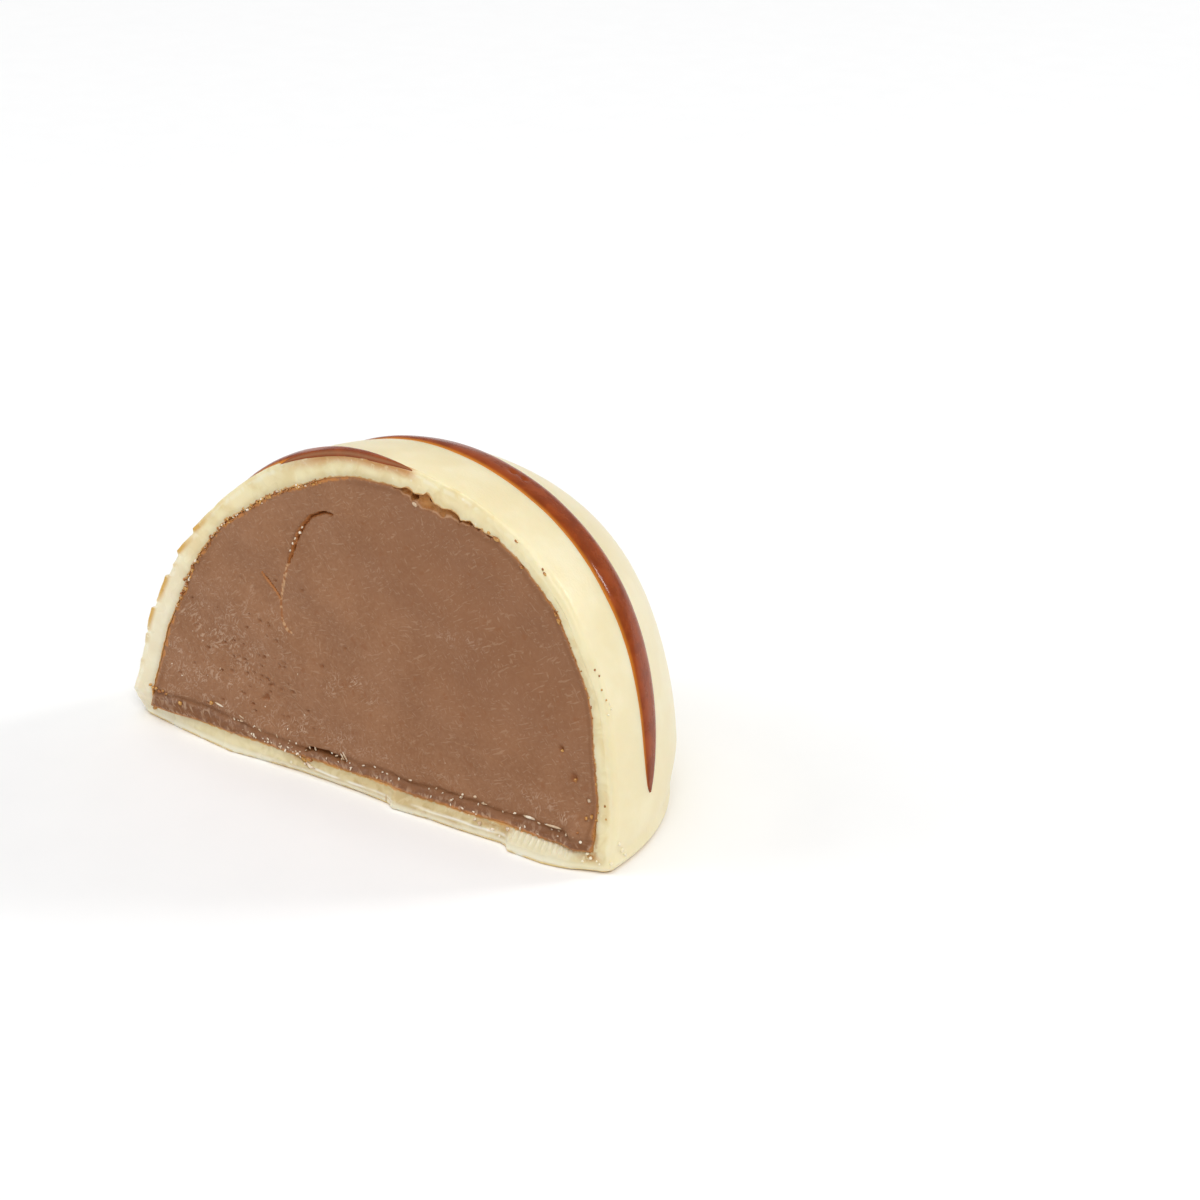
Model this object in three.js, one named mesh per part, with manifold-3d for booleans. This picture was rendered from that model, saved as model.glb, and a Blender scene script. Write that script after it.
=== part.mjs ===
// Half of a moulded white chocolate truffle, cut through and resting on its flat foot.
// Millimetres, +Z up, +X along the cut edge, +Y from the cut face into the sweet.
// The shapes are drawn with the middle of the cut edge at the origin, and the finished
// half is then shifted so that its origin is below the middle of its bounding box.
import * as THREE from 'three';
import Module from 'manifold-3d';
import { mergeVertices } from 'three/addons/utils/BufferGeometryUtils.js';

const wasm = await Module();
wasm.setup();

const { lerp, smoothstep } = THREE.MathUtils;
const DEGREE = Math.PI / 180;

// ---- Driving dimensions ----

// The coat is a dome: a round foot, a crown a little to one side of its middle, and
// shoulders that are squarer on the right than on the left.
const FOOT_RADIUS = 15.15;
const FOOT_CENTRE = { x: 0.08, y: 1.3 };
const CROWN = { x: 0.94, y: 1.3 };
const HEIGHT = 17.64;
const SHOULDER = { middle: 2.405, side: 0.704 };

// What the hand-finished coat adds to that: the foot spread out on the left and tucked in
// on the right, a seam above the floor layer, a flatter side and gentle waves all round.
const SPREAD = { height: 3.4, reach: 0.33 };
const TUCK = { depth: 0.48, from: 0.9, upTo: 2.9, angle: 46, width: 25 };
const SEAM = { height: 0.9, depth: 0.09, tall: 0.35 };
const FLATTER = { height: 10, depth: 0.2, tall: 5.5, angle: 35, width: 40 };
const WAVE = { wide: 0.05, narrow: 0.03 };
const FOOT_ROUND = 0.45;

// The coat's thickness at its two sides and its top, the poured floor layer that closes
// it, and the air left between the coat and the filling.
const COAT = { left: 1.3, right: 0.92, top: 1.25 };
const FLOOR = 1.0;
const CLEARANCE = 0.15;

// The cut leans back. The floor layer juts out of it, most at its ridge, by an amount that
// changes along the cut edge.
const CUT_LEAN = Math.tan(4.03 * DEGREE);
const RIDGE = { height: 0.5, fades: 1.35, underside: 0.8 };
const JUT_PLACES = [
  { x: -15.5, jut: -0.3 }, { x: -11.8, jut: 0.05 }, { x: -8.2, jut: 0.42 }, { x: -5.6, jut: 0.3 },
  { x: 2.1, jut: 0.32 }, { x: 2.9, jut: 0.62 }, { x: 9.0, jut: 0.5 }, { x: 9.7, jut: 0.9 },
  { x: 12.2, jut: 0.95 }, { x: 13.6, jut: 0.7 }, { x: 15.5, jut: 0 },
];
const CUT_RIPPLE = { long: 0.05, short: 0.04 };

// Above the floor layer the filling is creased, higher up on the left than on the right,
// and below the crease it slopes forward. Its lower right corner sags out.
const CREASE = { left: 1.75, right: 1.38, depth: 0.16, spread: 0.16, slope: 0.3 };
const CREASE_DROP = { from: -10, to: -4 };
const SAG = { x: 13.0, z: 1.9, radius: 0.9, depth: 0.4 };

// A split curves down the upper left of the filling, with a short branch beside it.
const SPLIT = { width: 0.3, depth: 0.7 };
const SPLIT_PLACES = [
  [-1.9, 14.2], [-3.2, 13.7], [-4.1, 12.4], [-4.5, 11.0], [-5.0, 9.3], [-4.9, 8.0], [-4.5, 7.6],
];
const BRANCH = { width: 0.22, depth: 0.4 };
const BRANCH_PLACES = [[-5.95, 9.9], [-5.55, 9.5], [-5.15, 9.15]];
const WEDGE_END = 0.25;

// Holes torn between the coat and the filling near the top right: how far round the edge
// each one lies, seen from the middle of the cut edge, and its half sizes.
const TEAR_OFFSET = 0.1;
const TEARS = [
  { angle: 78.0, along: 0.42, across: 0.34, depth: 1.3 },
  { angle: 73.2, along: 0.9, across: 0.42, depth: 0.5 },
  { angle: 67.4, along: 0.42, across: 0.3, depth: 0.6 },
  { angle: 63.6, along: 0.5, across: 0.26, depth: 0.5 },
];

// The drizzle: each stripe climbs over the coat between two angles above the ground. Its
// distance behind the cut edge is given over the crown, with how that changes towards a
// side and close to the right-hand tip.
const STRIPES = [
  { behind: 0.85, slant: -3.2, tip: 0, halfWidth: 0.85, fromAngle: 62, toAngle: 163 },
  { behind: 6.3, slant: -1.9, tip: -1.1, halfWidth: 1.2, fromAngle: 11.5, toAngle: 166 },
];
const STRIPE_RISE = 0.18;
const STRIPE_SINK = 0.1;
const STRIPE_ROOT = { depth: 0.4, share: 0.8 };
const TAPER = { length: 0.22, thinnest: 0.12, lowest: 0.2 };

// How finely each surface is faceted, and how often a distance is halved to find it.
const RING_CROWDING = 1.3;
const COAT_RINGS = 20;
const COAT_SEGMENTS = 90;
const LINING_RINGS = 15;
const LINING_SEGMENTS = 60;
const STRIPE_STEPS = 44;
const STRIPE_SIDES = 7;
const CUT_STEP = 0.62;
const HALVINGS = 40;

// The space that a cutting block covers.
const BLOCK = { left: -17, right: 17, bottom: -1, top: 19, front: -20 };

const WHITE_CHOCOLATE = { color: 0xeee0b4, roughness: 0.42, metalness: 0 };
const MILK_FILLING = { color: 0x966c50, roughness: 0.55, metalness: 0 };

// ---- Solids and meshes ----

function solidFrom(positions, indices) {
  const geometry = new THREE.BufferGeometry();
  geometry.setAttribute('position', new THREE.Float32BufferAttribute(positions, 3));
  geometry.setIndex(indices);
  const merged = mergeVertices(geometry, 1e-5);
  const corners = merged.index.array;
  const triVerts = [];
  for (let i = 0; i < corners.length; i += 3) {
    const [a, b, c] = corners.slice(i, i + 3);
    if (a !== b && b !== c && c !== a) triVerts.push(a, b, c);
  }
  const mesh = new wasm.Mesh({
    numProp: 3,
    vertProperties: new Float32Array(merged.attributes.position.array),
    triVerts: new Uint32Array(triVerts),
  });
  return new wasm.Manifold(mesh);
}

function meshFrom(solid, name, look) {
  const { vertProperties, triVerts } = solid.getMesh();
  const geometry = new THREE.BufferGeometry();
  geometry.setAttribute('position', new THREE.BufferAttribute(new Float32Array(vertProperties), 3));
  geometry.setIndex(Array.from(triVerts));
  const mesh = new THREE.Mesh(geometry, new THREE.MeshStandardMaterial(look));
  mesh.name = name;
  return mesh;
}

// What is left after the cuts, without any loose scrap.
function cutAway(solid, tools) {
  const rest = tools.reduce((whole, tool) => whole.subtract(tool), solid);
  return rest.decompose().reduce((best, piece) => (piece.volume() > best.volume() ? piece : best));
}

// A closed solid through rings of equal length, the first and last closed by their middles.
function solidThrough(rings) {
  const positions = [];
  const indices = [];
  const count = rings[0].length;
  rings.forEach((ring) => ring.forEach((point) => positions.push(...point.toArray())));
  const addMiddle = (ring) => {
    const sum = ring.reduce((total, point) => total.add(point), new THREE.Vector3());
    positions.push(...sum.divideScalar(count).toArray());
    return positions.length / 3 - 1;
  };
  const first = addMiddle(rings[0]);
  const last = addMiddle(rings[rings.length - 1]);
  const top = (rings.length - 1) * count;
  for (let k = 0; k < count; k += 1) {
    const next = (k + 1) % count;
    indices.push(first, next, k, last, top + k, top + next);
    for (let low = 0; low < top; low += count) {
      const high = low + count;
      indices.push(low + k, low + next, high + next, low + k, high + next, high + k);
    }
  }
  return solidFrom(positions, indices);
}

// The same, for rings that may run either way round.
function outwardSolidThrough(rings) {
  const solid = solidThrough(rings);
  return solid.volume() > 0 ? solid : solidThrough(rings.map((ring) => ring.reverse()));
}

// ---- The dome and its lining ----

function bell(value, width) {
  return Math.exp(-((value / width) ** 2));
}

// How far the foot reaches from the crown line.
function footReach(angle) {
  const dx = FOOT_CENTRE.x - CROWN.x;
  const dy = FOOT_CENTRE.y - CROWN.y;
  const along = dx * Math.cos(angle) + dy * Math.sin(angle);
  const across = dx * Math.sin(angle) - dy * Math.cos(angle);
  return along + Math.sqrt(FOOT_RADIUS ** 2 - across ** 2);
}

function liningReach(angle) {
  return footReach(angle) - lerp(COAT.left, COAT.right, (1 + Math.cos(angle)) / 2);
}

function fillingReach(angle) {
  return liningReach(angle) - CLEARANCE;
}

// How far the real coat stands out from the plain dome, or in from it.
function swell(angle, z) {
  const turn = Math.atan2(Math.sin(angle), Math.cos(angle)) / DEGREE;
  const left = Math.max(-Math.cos(angle), 0);
  const spread = z < SPREAD.height ? Math.sin(Math.PI * Math.sqrt(z / SPREAD.height)) ** 2 : 0;
  const tuck = (1 - smoothstep(z, TUCK.from, TUCK.upTo)) * bell(turn - TUCK.angle, TUCK.width);
  const seam = bell(z - SEAM.height, SEAM.tall) * (1 - left);
  const flatter = bell(z - FLATTER.height, FLATTER.tall) * bell(turn - FLATTER.angle, FLATTER.width);
  const rounding = FOOT_ROUND * (1 - Math.sqrt(1 - Math.max(1 - z / FOOT_ROUND, 0) ** 2));
  const inward = TUCK.depth * tuck + SEAM.depth * seam + FLATTER.depth * flatter + rounding;
  const wave = WAVE.wide * Math.sin(3 * angle + 0.4 * z) + WAVE.narrow * Math.sin(5 * angle - 0.7 * z + 1);
  return SPREAD.reach * left * spread + wave * Math.sqrt(Math.max(1 - z / HEIGHT, 0)) - inward;
}

function plain() {
  return 0;
}

// The three domes: the coat's outside, its lining and the filling.
const OUTSIDE = { reach: footReach, height: HEIGHT, floor: 0, offset: swell };
const LINING = { reach: liningReach, height: HEIGHT - COAT.top, floor: FLOOR, offset: plain };
const INSIDE = {
  reach: fillingReach, height: LINING.height - CLEARANCE, floor: FLOOR + CLEARANCE, offset: plain,
};

// How far a dome reaches from its crown line, at a height.
function edgeOf(form, angle, z) {
  const share = Math.min(Math.max(z, 0) / form.height, 1);
  const power = SHOULDER.middle + SHOULDER.side * Math.cos(angle);
  return form.reach(angle) * Math.sqrt(Math.max(1 - share ** power, 0)) + form.offset(angle, z);
}

// A dome of rings, which lie closer together near the rounded foot.
function dome(form, rings, segments) {
  const start = Math.asin(form.floor / form.height);
  const list = [];
  for (let r = 0; r < rings; r += 1) {
    const z = form.height * Math.sin(lerp(start, Math.PI / 2, (r / rings) ** RING_CROWDING));
    const ring = [];
    for (let s = 0; s < segments; s += 1) {
      const angle = (s / segments) * 2 * Math.PI;
      const edge = edgeOf(form, angle, z);
      ring.push(new THREE.Vector3(CROWN.x + edge * Math.cos(angle), CROWN.y + edge * Math.sin(angle), z));
    }
    list.push(ring);
  }
  return solidThrough(list);
}

function isInside(form, point) {
  const angle = Math.atan2(point.y - CROWN.y, point.x - CROWN.x);
  return Math.hypot(point.x - CROWN.x, point.y - CROWN.y) < edgeOf(form, angle, point.z);
}

// Where a ray leaves a dome, found by halving. pointAt gives the ray's point at a distance.
function leaves(form, pointAt) {
  let inner = 0;
  let outer = 2 * HEIGHT;
  for (let k = 0; k < HALVINGS; k += 1) {
    const middle = (inner + outer) / 2;
    if (isInside(form, pointAt(middle))) inner = middle;
    else outer = middle;
  }
  return pointAt(inner);
}

// ---- The cut ----

function jutAt(x) {
  const next = JUT_PLACES.findIndex((place) => place.x > x);
  if (next < 1) return 0;
  const [a, b] = [JUT_PLACES[next - 1], JUT_PLACES[next]];
  return lerp(a.jut, b.jut, (x - a.x) / (b.x - a.x));
}

function ripple(x, z) {
  return CUT_RIPPLE.long * Math.sin(0.7 * x + 1.3 * z) + CUT_RIPPLE.short * Math.sin(1.6 * x - 0.9 * z);
}

// The coat's cut face: flat above, with the floor layer's ridge standing forward below.
function coatCut(x, z) {
  const above = 1 - smoothstep(z, RIDGE.height, RIDGE.fades);
  const below = lerp(RIDGE.underside, 1, Math.max(z, 0) / RIDGE.height);
  return z * CUT_LEAN - jutAt(x) * (z > RIDGE.height ? above : below) + ripple(x, z);
}

// The filling's cut face: nearly smooth down to its crease.
function fillingCut(x, z) {
  const height = lerp(CREASE.left, CREASE.right, smoothstep(x, CREASE_DROP.from, CREASE_DROP.to));
  const crease = CREASE.depth * bell(z - height, CREASE.spread);
  const slope = CREASE.slope * smoothstep(height - z, 0, height - FLOOR);
  const sag = SAG.depth * bell(Math.hypot(x - SAG.x, z - SAG.z), SAG.radius);
  return z * CUT_LEAN + crease - slope - sag + ripple(x, z);
}

// A block in front of the cut, to be taken away. Its back is the cut face.
function cuttingBlock(cut) {
  const columns = Math.ceil((BLOCK.right - BLOCK.left) / CUT_STEP);
  const rows = Math.ceil((BLOCK.top - BLOCK.bottom) / CUT_STEP);
  const positions = [];
  const indices = [];
  for (const frontFace of [false, true]) {
    for (let j = 0; j <= rows; j += 1) {
      for (let i = 0; i <= columns; i += 1) {
        const x = lerp(BLOCK.left, BLOCK.right, i / columns);
        const z = lerp(BLOCK.bottom, BLOCK.top, j / rows);
        positions.push(x, frontFace ? BLOCK.front : cut(x, z), z);
      }
    }
  }
  const back = (i, j) => j * (columns + 1) + i;
  const front = (i, j) => back(i, j) + (columns + 1) * (rows + 1);
  const quad = (a, b, c, d) => indices.push(a, b, c, a, c, d);
  for (let j = 0; j < rows; j += 1) {
    for (let i = 0; i < columns; i += 1) {
      quad(back(i, j), back(i, j + 1), back(i + 1, j + 1), back(i + 1, j));
      quad(front(i, j), front(i + 1, j), front(i + 1, j + 1), front(i, j + 1));
    }
  }
  for (let i = 0; i < columns; i += 1) {
    quad(back(i, 0), back(i + 1, 0), front(i + 1, 0), front(i, 0));
    quad(back(i + 1, rows), back(i, rows), front(i, rows), front(i + 1, rows));
  }
  for (let j = 0; j < rows; j += 1) {
    quad(back(0, j + 1), back(0, j), front(0, j), front(0, j + 1));
    quad(back(columns, j), back(columns, j + 1), front(columns, j + 1), front(columns, j));
  }
  return solidFrom(positions, indices);
}

// ---- The drizzle ----

// A point on the coat, at an angle above the ground and to one side of a stripe's middle.
function stripePoint(stripe, angle, aside) {
  const side = Math.cos(angle);
  const tip = side > 0 ? stripe.tip * side ** 10 : 0;
  const y = stripe.behind + stripe.slant * side + tip + aside;
  return leaves(OUTSIDE, (r) => new THREE.Vector3(CROWN.x + r * side, y, r * Math.sin(angle)));
}

// The same point, raised off the coat or sunk into it.
function stripePointAbove(stripe, angle, aside, rise) {
  const small = 0.01;
  const along = stripePoint(stripe, angle + small, aside).sub(stripePoint(stripe, angle - small, aside));
  const across = stripePoint(stripe, angle, aside + small).sub(stripePoint(stripe, angle, aside - small));
  return stripePoint(stripe, angle, aside).addScaledVector(across.cross(along).normalize(), rise);
}

// A stripe is a low rounded ridge with pointed ends, rooted in the coat.
function stripeSolid(stripe) {
  const rings = [];
  for (let k = 0; k <= STRIPE_STEPS; k += 1) {
    const share = k / STRIPE_STEPS;
    const angle = lerp(stripe.fromAngle, stripe.toAngle, share) * DEGREE;
    const taper = Math.min(Math.min(share, 1 - share) / TAPER.length, 1);
    const fullness = Math.sqrt(taper * (2 - taper));
    const halfWidth = stripe.halfWidth * Math.max(fullness, TAPER.thinnest);
    const height = STRIPE_RISE * Math.max(fullness, TAPER.lowest);
    const ring = [];
    for (let s = 0; s <= STRIPE_SIDES; s += 1) {
      const across = lerp(-1, 1, s / STRIPE_SIDES);
      const rise = height * (1 - across ** 4) - STRIPE_SINK * across ** 4;
      ring.push(stripePointAbove(stripe, angle, across * halfWidth, rise));
    }
    for (const across of [STRIPE_ROOT.share, -STRIPE_ROOT.share]) {
      ring.push(stripePointAbove(stripe, angle, across * halfWidth, -STRIPE_ROOT.depth));
    }
    rings.push(ring);
  }
  return outwardSolidThrough(rings);
}

// ---- Splits and tears in the cut ----

// A narrow wedge along a curve on the cut face, wide in front and sharp at its depth.
function splitSolid(places, size) {
  const curve = new THREE.CatmullRomCurve3(places.map(([x, z]) => new THREE.Vector3(x, 0, z)));
  const steps = 2 * (places.length - 1);
  const rings = [];
  for (let k = 0; k <= steps; k += 1) {
    const { x, z } = curve.getPoint(k / steps);
    const along = curve.getTangent(k / steps);
    const half = (size.width / 2) * lerp(WEDGE_END, 1, Math.sin((Math.PI * k) / steps));
    const face = z * CUT_LEAN;
    rings.push([
      new THREE.Vector3(x - along.z * half, face - 1, z + along.x * half),
      new THREE.Vector3(x + along.z * half, face - 1, z - along.x * half),
      new THREE.Vector3(x, face + size.depth, z),
    ]);
  }
  return outwardSolidThrough(rings);
}

function tearSolid(tear) {
  const angle = tear.angle * DEGREE;
  const out = new THREE.Vector3(Math.cos(angle), Math.sin(angle) * CUT_LEAN, Math.sin(angle));
  const edge = leaves(INSIDE, (r) => out.clone().multiplyScalar(r));
  const place = edge.addScaledVector(out, TEAR_OFFSET);
  const hole = new THREE.IcosahedronGeometry(1, 1);
  hole.deleteAttribute('normal');
  hole.deleteAttribute('uv');
  hole.scale(tear.across, tear.depth, tear.along);
  hole.rotateY(-angle);
  hole.translate(...place.toArray());
  const merged = mergeVertices(hole, 1e-4);
  return solidFrom(Array.from(merged.attributes.position.array), Array.from(merged.index.array));
}

// ---- The two pieces ----

function shell() {
  const whole = dome(OUTSIDE, COAT_RINGS, COAT_SEGMENTS);
  const hollow = dome(LINING, LINING_RINGS, LINING_SEGMENTS);
  const striped = STRIPES.reduce((coat, stripe) => coat.add(stripeSolid(stripe)), whole);
  return cutAway(striped, [hollow, cuttingBlock(coatCut), ...TEARS.map(tearSolid)]);
}

function filling() {
  const whole = dome(INSIDE, LINING_RINGS, LINING_SEGMENTS);
  const splits = [splitSolid(SPLIT_PLACES, SPLIT), splitSolid(BRANCH_PLACES, BRANCH)];
  return cutAway(whole, [cuttingBlock(fillingCut), ...splits, ...TEARS.map(tearSolid)]);
}

const half = new THREE.Group();
half.add(meshFrom(shell(), 'shell', WHITE_CHOCOLATE));
half.add(meshFrom(filling(), 'filling', MILK_FILLING));

const box = new THREE.Box3().setFromObject(half);
const middle = box.getCenter(new THREE.Vector3());
half.position.set(-middle.x, -middle.y, -box.min.z);

const truffle = new THREE.Group();
truffle.add(half);

export default truffle;
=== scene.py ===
import math

import bmesh
import bpy
import numpy as np
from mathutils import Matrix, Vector


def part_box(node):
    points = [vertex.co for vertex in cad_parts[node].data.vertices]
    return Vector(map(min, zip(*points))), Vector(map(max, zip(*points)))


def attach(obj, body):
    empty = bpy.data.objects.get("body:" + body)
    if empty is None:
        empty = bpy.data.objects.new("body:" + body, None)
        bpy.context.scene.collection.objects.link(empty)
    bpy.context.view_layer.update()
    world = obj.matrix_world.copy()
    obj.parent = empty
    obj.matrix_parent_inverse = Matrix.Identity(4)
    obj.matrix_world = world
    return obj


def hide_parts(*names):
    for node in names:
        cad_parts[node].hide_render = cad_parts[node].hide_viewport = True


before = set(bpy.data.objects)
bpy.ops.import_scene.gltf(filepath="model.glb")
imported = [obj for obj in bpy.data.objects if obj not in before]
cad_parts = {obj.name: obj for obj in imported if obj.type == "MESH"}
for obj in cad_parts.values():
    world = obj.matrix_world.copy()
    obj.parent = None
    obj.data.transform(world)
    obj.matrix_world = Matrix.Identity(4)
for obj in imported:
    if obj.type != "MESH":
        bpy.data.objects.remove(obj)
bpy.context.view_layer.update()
SHELL_CORNER = np.array(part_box("shell")[0])

# Millimetres in the frame of the cut: the middle of the cut edge is at the origin, +X runs
# along that edge, +Y into the sweet and +Z up. Points become metres in the CAD's frame only
# when a mesh is made. COAT_LEFT and COAT_FRONT say where the coat's box begins.
MM = 0.001
COAT_LEFT = -15.322
COAT_FRONT = -0.794

# ---- The coat's dome, as in the CAD ----

# A round foot, a crown a little to one side of its middle, and shoulders that are squarer on
# the right than on the left.
FOOT_RADIUS = 15.15
FOOT_CENTRE = (0.08, 1.3)
CROWN = (0.94, 1.3)
HEIGHT = 17.64
SHOULDER_MIDDLE = 2.405
SHOULDER_SIDE = 0.704

# What the hand-finished coat adds to that: the foot spread out on the left and tucked in on
# the right, a seam above the floor layer, a flatter side and gentle waves all round.
SPREAD_HEIGHT = 3.4
SPREAD_REACH = 0.33
TUCK_DEPTH = 0.48
TUCK_FROM = 0.9
TUCK_UP_TO = 2.9
TUCK_TURN = 46
TUCK_WIDTH = 25
SEAM_HEIGHT = 0.9
SEAM_DEPTH = 0.09
SEAM_TALL = 0.35
FLATTER_HEIGHT = 10
FLATTER_DEPTH = 0.2
FLATTER_TALL = 5.5
FLATTER_TURN = 35
FLATTER_WIDTH = 40
WAVE_WIDE = 0.05
WAVE_NARROW = 0.03
FOOT_ROUND = 0.45

# How thick the coat is at its sides and its top, how thick its floor layer is, and how much
# the cut leans back.
COAT_THICK_LEFT = 1.3
COAT_THICK_RIGHT = 0.92
COAT_THICK_TOP = 1.25
FLOOR_THICK = 1.0
CUT_LEAN = math.tan(math.radians(4.03))

# ---- The cut ----

# The floor layer's front: how far behind the cut edge it stands at its foot, at its ridge
# and at its top, along the cut.
RIDGE_HEIGHT = 0.47
FRONT_PLACES = [
    (-15.6, 1.0, 0.8, 0.45),
    (-14.6, 0.62, 0.45, 0.25),
    (-11.8, 0.16, 0.02, 0.02),
    (-8.2, -0.36, -0.4, -0.16),
    (-5.7, -0.12, -0.32, -0.16),
    (-3.8, 0.0, -0.28, -0.14),
    (0.1, -0.04, -0.32, -0.16),
    (1.9, -0.24, -0.4, -0.2),
    (2.2, -0.3, -0.42, -0.2),
    (2.5, -0.56, -0.64, -0.3),
    (4.8, -0.42, -0.58, -0.3),
    (7.2, -0.45, -0.56, -0.3),
    (9.0, -0.4, -0.5, -0.26),
    (9.4, -0.5, -0.55, -0.26),
    (9.75, -0.86, -0.88, -0.34),
    (11.8, -0.93, -0.92, -0.36),
    (13.3, -0.68, -0.66, -0.24),
    (14.5, -0.22, -0.2, -0.06),
    (15.6, 0.1, 0.1, 0.1),
]
FRONT_FADE = 1.75
RIPPLE_FROM = (0.3, 2.0)

# How much the coat's cut edge is rounded, and how much softer it is on the right: below an
# angle above the ground, and past a place along the foot.
EDGE_ROUND = 0.1
EDGE_SOFTER = 0.26
SOFT_TURN = (56, 70)
SOFT_FOOT = (12.4, 14.0)

# The thin lip that the knife raised along that soft edge.
LIP_INSET = 0.42
LIP_RISE = 0.06
LIP_WIDTH = 0.07
LIP_ALONG = (10.6, 11.8, 14.3, 14.9)
LIP_ABOVE = (5.5, 7)

# Drizzle that the knife dragged down over the coat's cut.
SMEAR_ALONG = (-5.4, -2.2, 2.6, 3.6)
SMEAR_ABOVE = 9
SMEAR_REACH = 0.55

# The floor layer's cut: its top, its dull middle, where a highlight is painted along its ridge,
# its scored right-hand part and a chipped place. Four numbers say where a thing begins and ends,
# softly.
LAYER_TOP = (0.9, 1.25)
DULL_ALONG = (-5.5, -3.2, 9.3, 9.7)
RIDGE_HIGHLIGHT_ALONG = (-3.9, -3.4, 9.2, 9.6)
THIN_LEFT = (9.5, 13)
THIN_RIGHT = (9.3, 9.7, 12.8, 13.8)
SCORED_ALONG = (9.5, 9.8, 12.9, 13.2)
SCORED_UP = (0.45, 0.6, 1.0, 1.2)
SCORE_DEPTH = 0.14
SCORE_TURNS = 9.5
CHIPPED_PLACE = (8.4, 0.72)
CHIPPED_SIZE = (1.0, 0.3)
CHIP_DEPTH = 0.16

# Burrs that the knife dragged out of the coat's left edge: top and bottom height, and how
# far each stands out at its top and at its bottom.
BURRS = [
    (12.6, 11.35, 0.02, 0.24),
    (11.0, 9.95, 0.04, 0.27),
    (9.5, 9.15, 0.0, 0.1),
    (8.45, 6.95, 0.28, 0.1),
    (6.5, 5.2, 0.24, 0.1),
    (4.95, 4.4, 0.12, 0.05),
    (3.4, 2.9, 0.06, 0.02),
]
BURR_DEPTH = 0.35
BURR_FULL = 0.17

# The crease above the band, higher on the left than on the right.
CREASE_LEFT = 1.75
CREASE_RIGHT = 1.38
CREASE_DEPTH = 0.11
CREASE_SPREAD = 0.16
CREASE_FROM = -10
CREASE_TO = -4
SAG_PLACE = (13.35, 1.65)
SAG_RADIUS = 0.7
SAG_DEPTH = 0.6

# The split in the filling, as place and width along it, then the closed seams that run on
# from it and elsewhere, the first of them plain and the others faint, and a short branch.
SPLIT = [
    (-1.75, 14.18, 0.05), (-2.1, 14.22, 0.15), (-2.6, 14.06, 0.15), (-3.24, 13.72, 0.18),
    (-3.79, 13.05, 0.26), (-4.12, 12.37, 0.23), (-4.4, 11.5, 0.13), (-4.5, 11.1, 0.08),
]
SEAM_LINES = [
    [(-4.45, 11.3, 0.17), (-4.62, 10.8, 0.17), (-4.78, 10.32, 0.16), (-4.96, 9.59, 0.16),
     (-5.09, 8.82, 0.16), (-4.91, 7.95, 0.17), (-4.53, 7.5, 0.18), (-4.3, 7.45, 0.12)],
    [(-4.43, 7.61, 0.05), (-3.7, 8.05, 0.04), (-3.08, 8.3, 0.04), (-2.0, 8.41, 0.03),
     (-0.4, 8.3, 0.01)],
    [(-1.7, 14.2, 0.03), (-0.9, 14.5, 0.03), (0.4, 14.55, 0.02)],
    [(6.4, 13.5, 0.04), (7.7, 13.4, 0.05), (9.2, 13.1, 0.04), (9.9, 12.8, 0.02)],
    [(5.9, 4.3, 0.05), (7.1, 4.25, 0.08), (8.9, 4.0, 0.05)],
]
BRANCH = [(-6.3, 10.2, 0.03), (-5.95, 9.85, 0.17), (-5.5, 9.42, 0.16), (-5.14, 9.05, 0.09)]
SPLIT_DEPTH = 0.32
BRANCH_DEPTH = 0.15
FAINT_SEAM = 0.25

# Where the floor layer's cut is notched and cracked, and where the coat's cut is stained:
# place, width, height and strength.
NOTCH = [(-4.0, 0.95, 0.1), (-3.6, 0.85, 0.34), (-3.3, 0.68, 0.3), (-2.95, 0.52, 0.05)]
STEP_CRACK = [(2.05, 0.55, 0.03), (1.98, 0.3, 0.07), (1.92, 0.0, 0.1)]
NOTCH_DEPTH = 0.2
STEP_DEPTH = 0.08
STAINS = [
    (-3.3, 1.0, 0.5, 0.12, 0.9), (-3.35, 0.78, 0.3, 0.13, 0.9), (-2.4, 0.98, 0.6, 0.07, 0.7),
    (-3.9, 0.85, 0.2, 0.15, 0.5), (8.5, 0.82, 0.9, 0.2, 0.55), (9.4, 0.9, 0.3, 0.15, 0.8),
    (7.2, 0.98, 0.6, 0.08, 0.5), (13.1, 0.98, 0.8, 0.14, 1.0), (14.1, 0.72, 0.4, 0.16, 0.9),
    (14.3, 1.3, 0.1, 0.5, 0.7), (-13.9, 0.6, 0.2, 0.12, 0.7), (0.3, 1.0, 0.8, 0.05, 0.5),
    (4.0, 1.02, 1.2, 0.05, 0.5), (-4.9, 0.12, 0.9, 0.12, 0.5), (1.2, 0.05, 0.8, 0.1, 0.6),
    (8.4, 0.02, 0.9, 0.12, 0.6),
]

# The slot that opened under the lower left of the filling.
SLOT = [(-3.4, 1.3, 0.05), (-3.0, 1.46, 0.2), (-2.1, 1.46, 0.24), (-1.3, 1.38, 0.14), (-0.9, 1.3, 0.04)]
SLOT_DEPTH = 0.8

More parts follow.
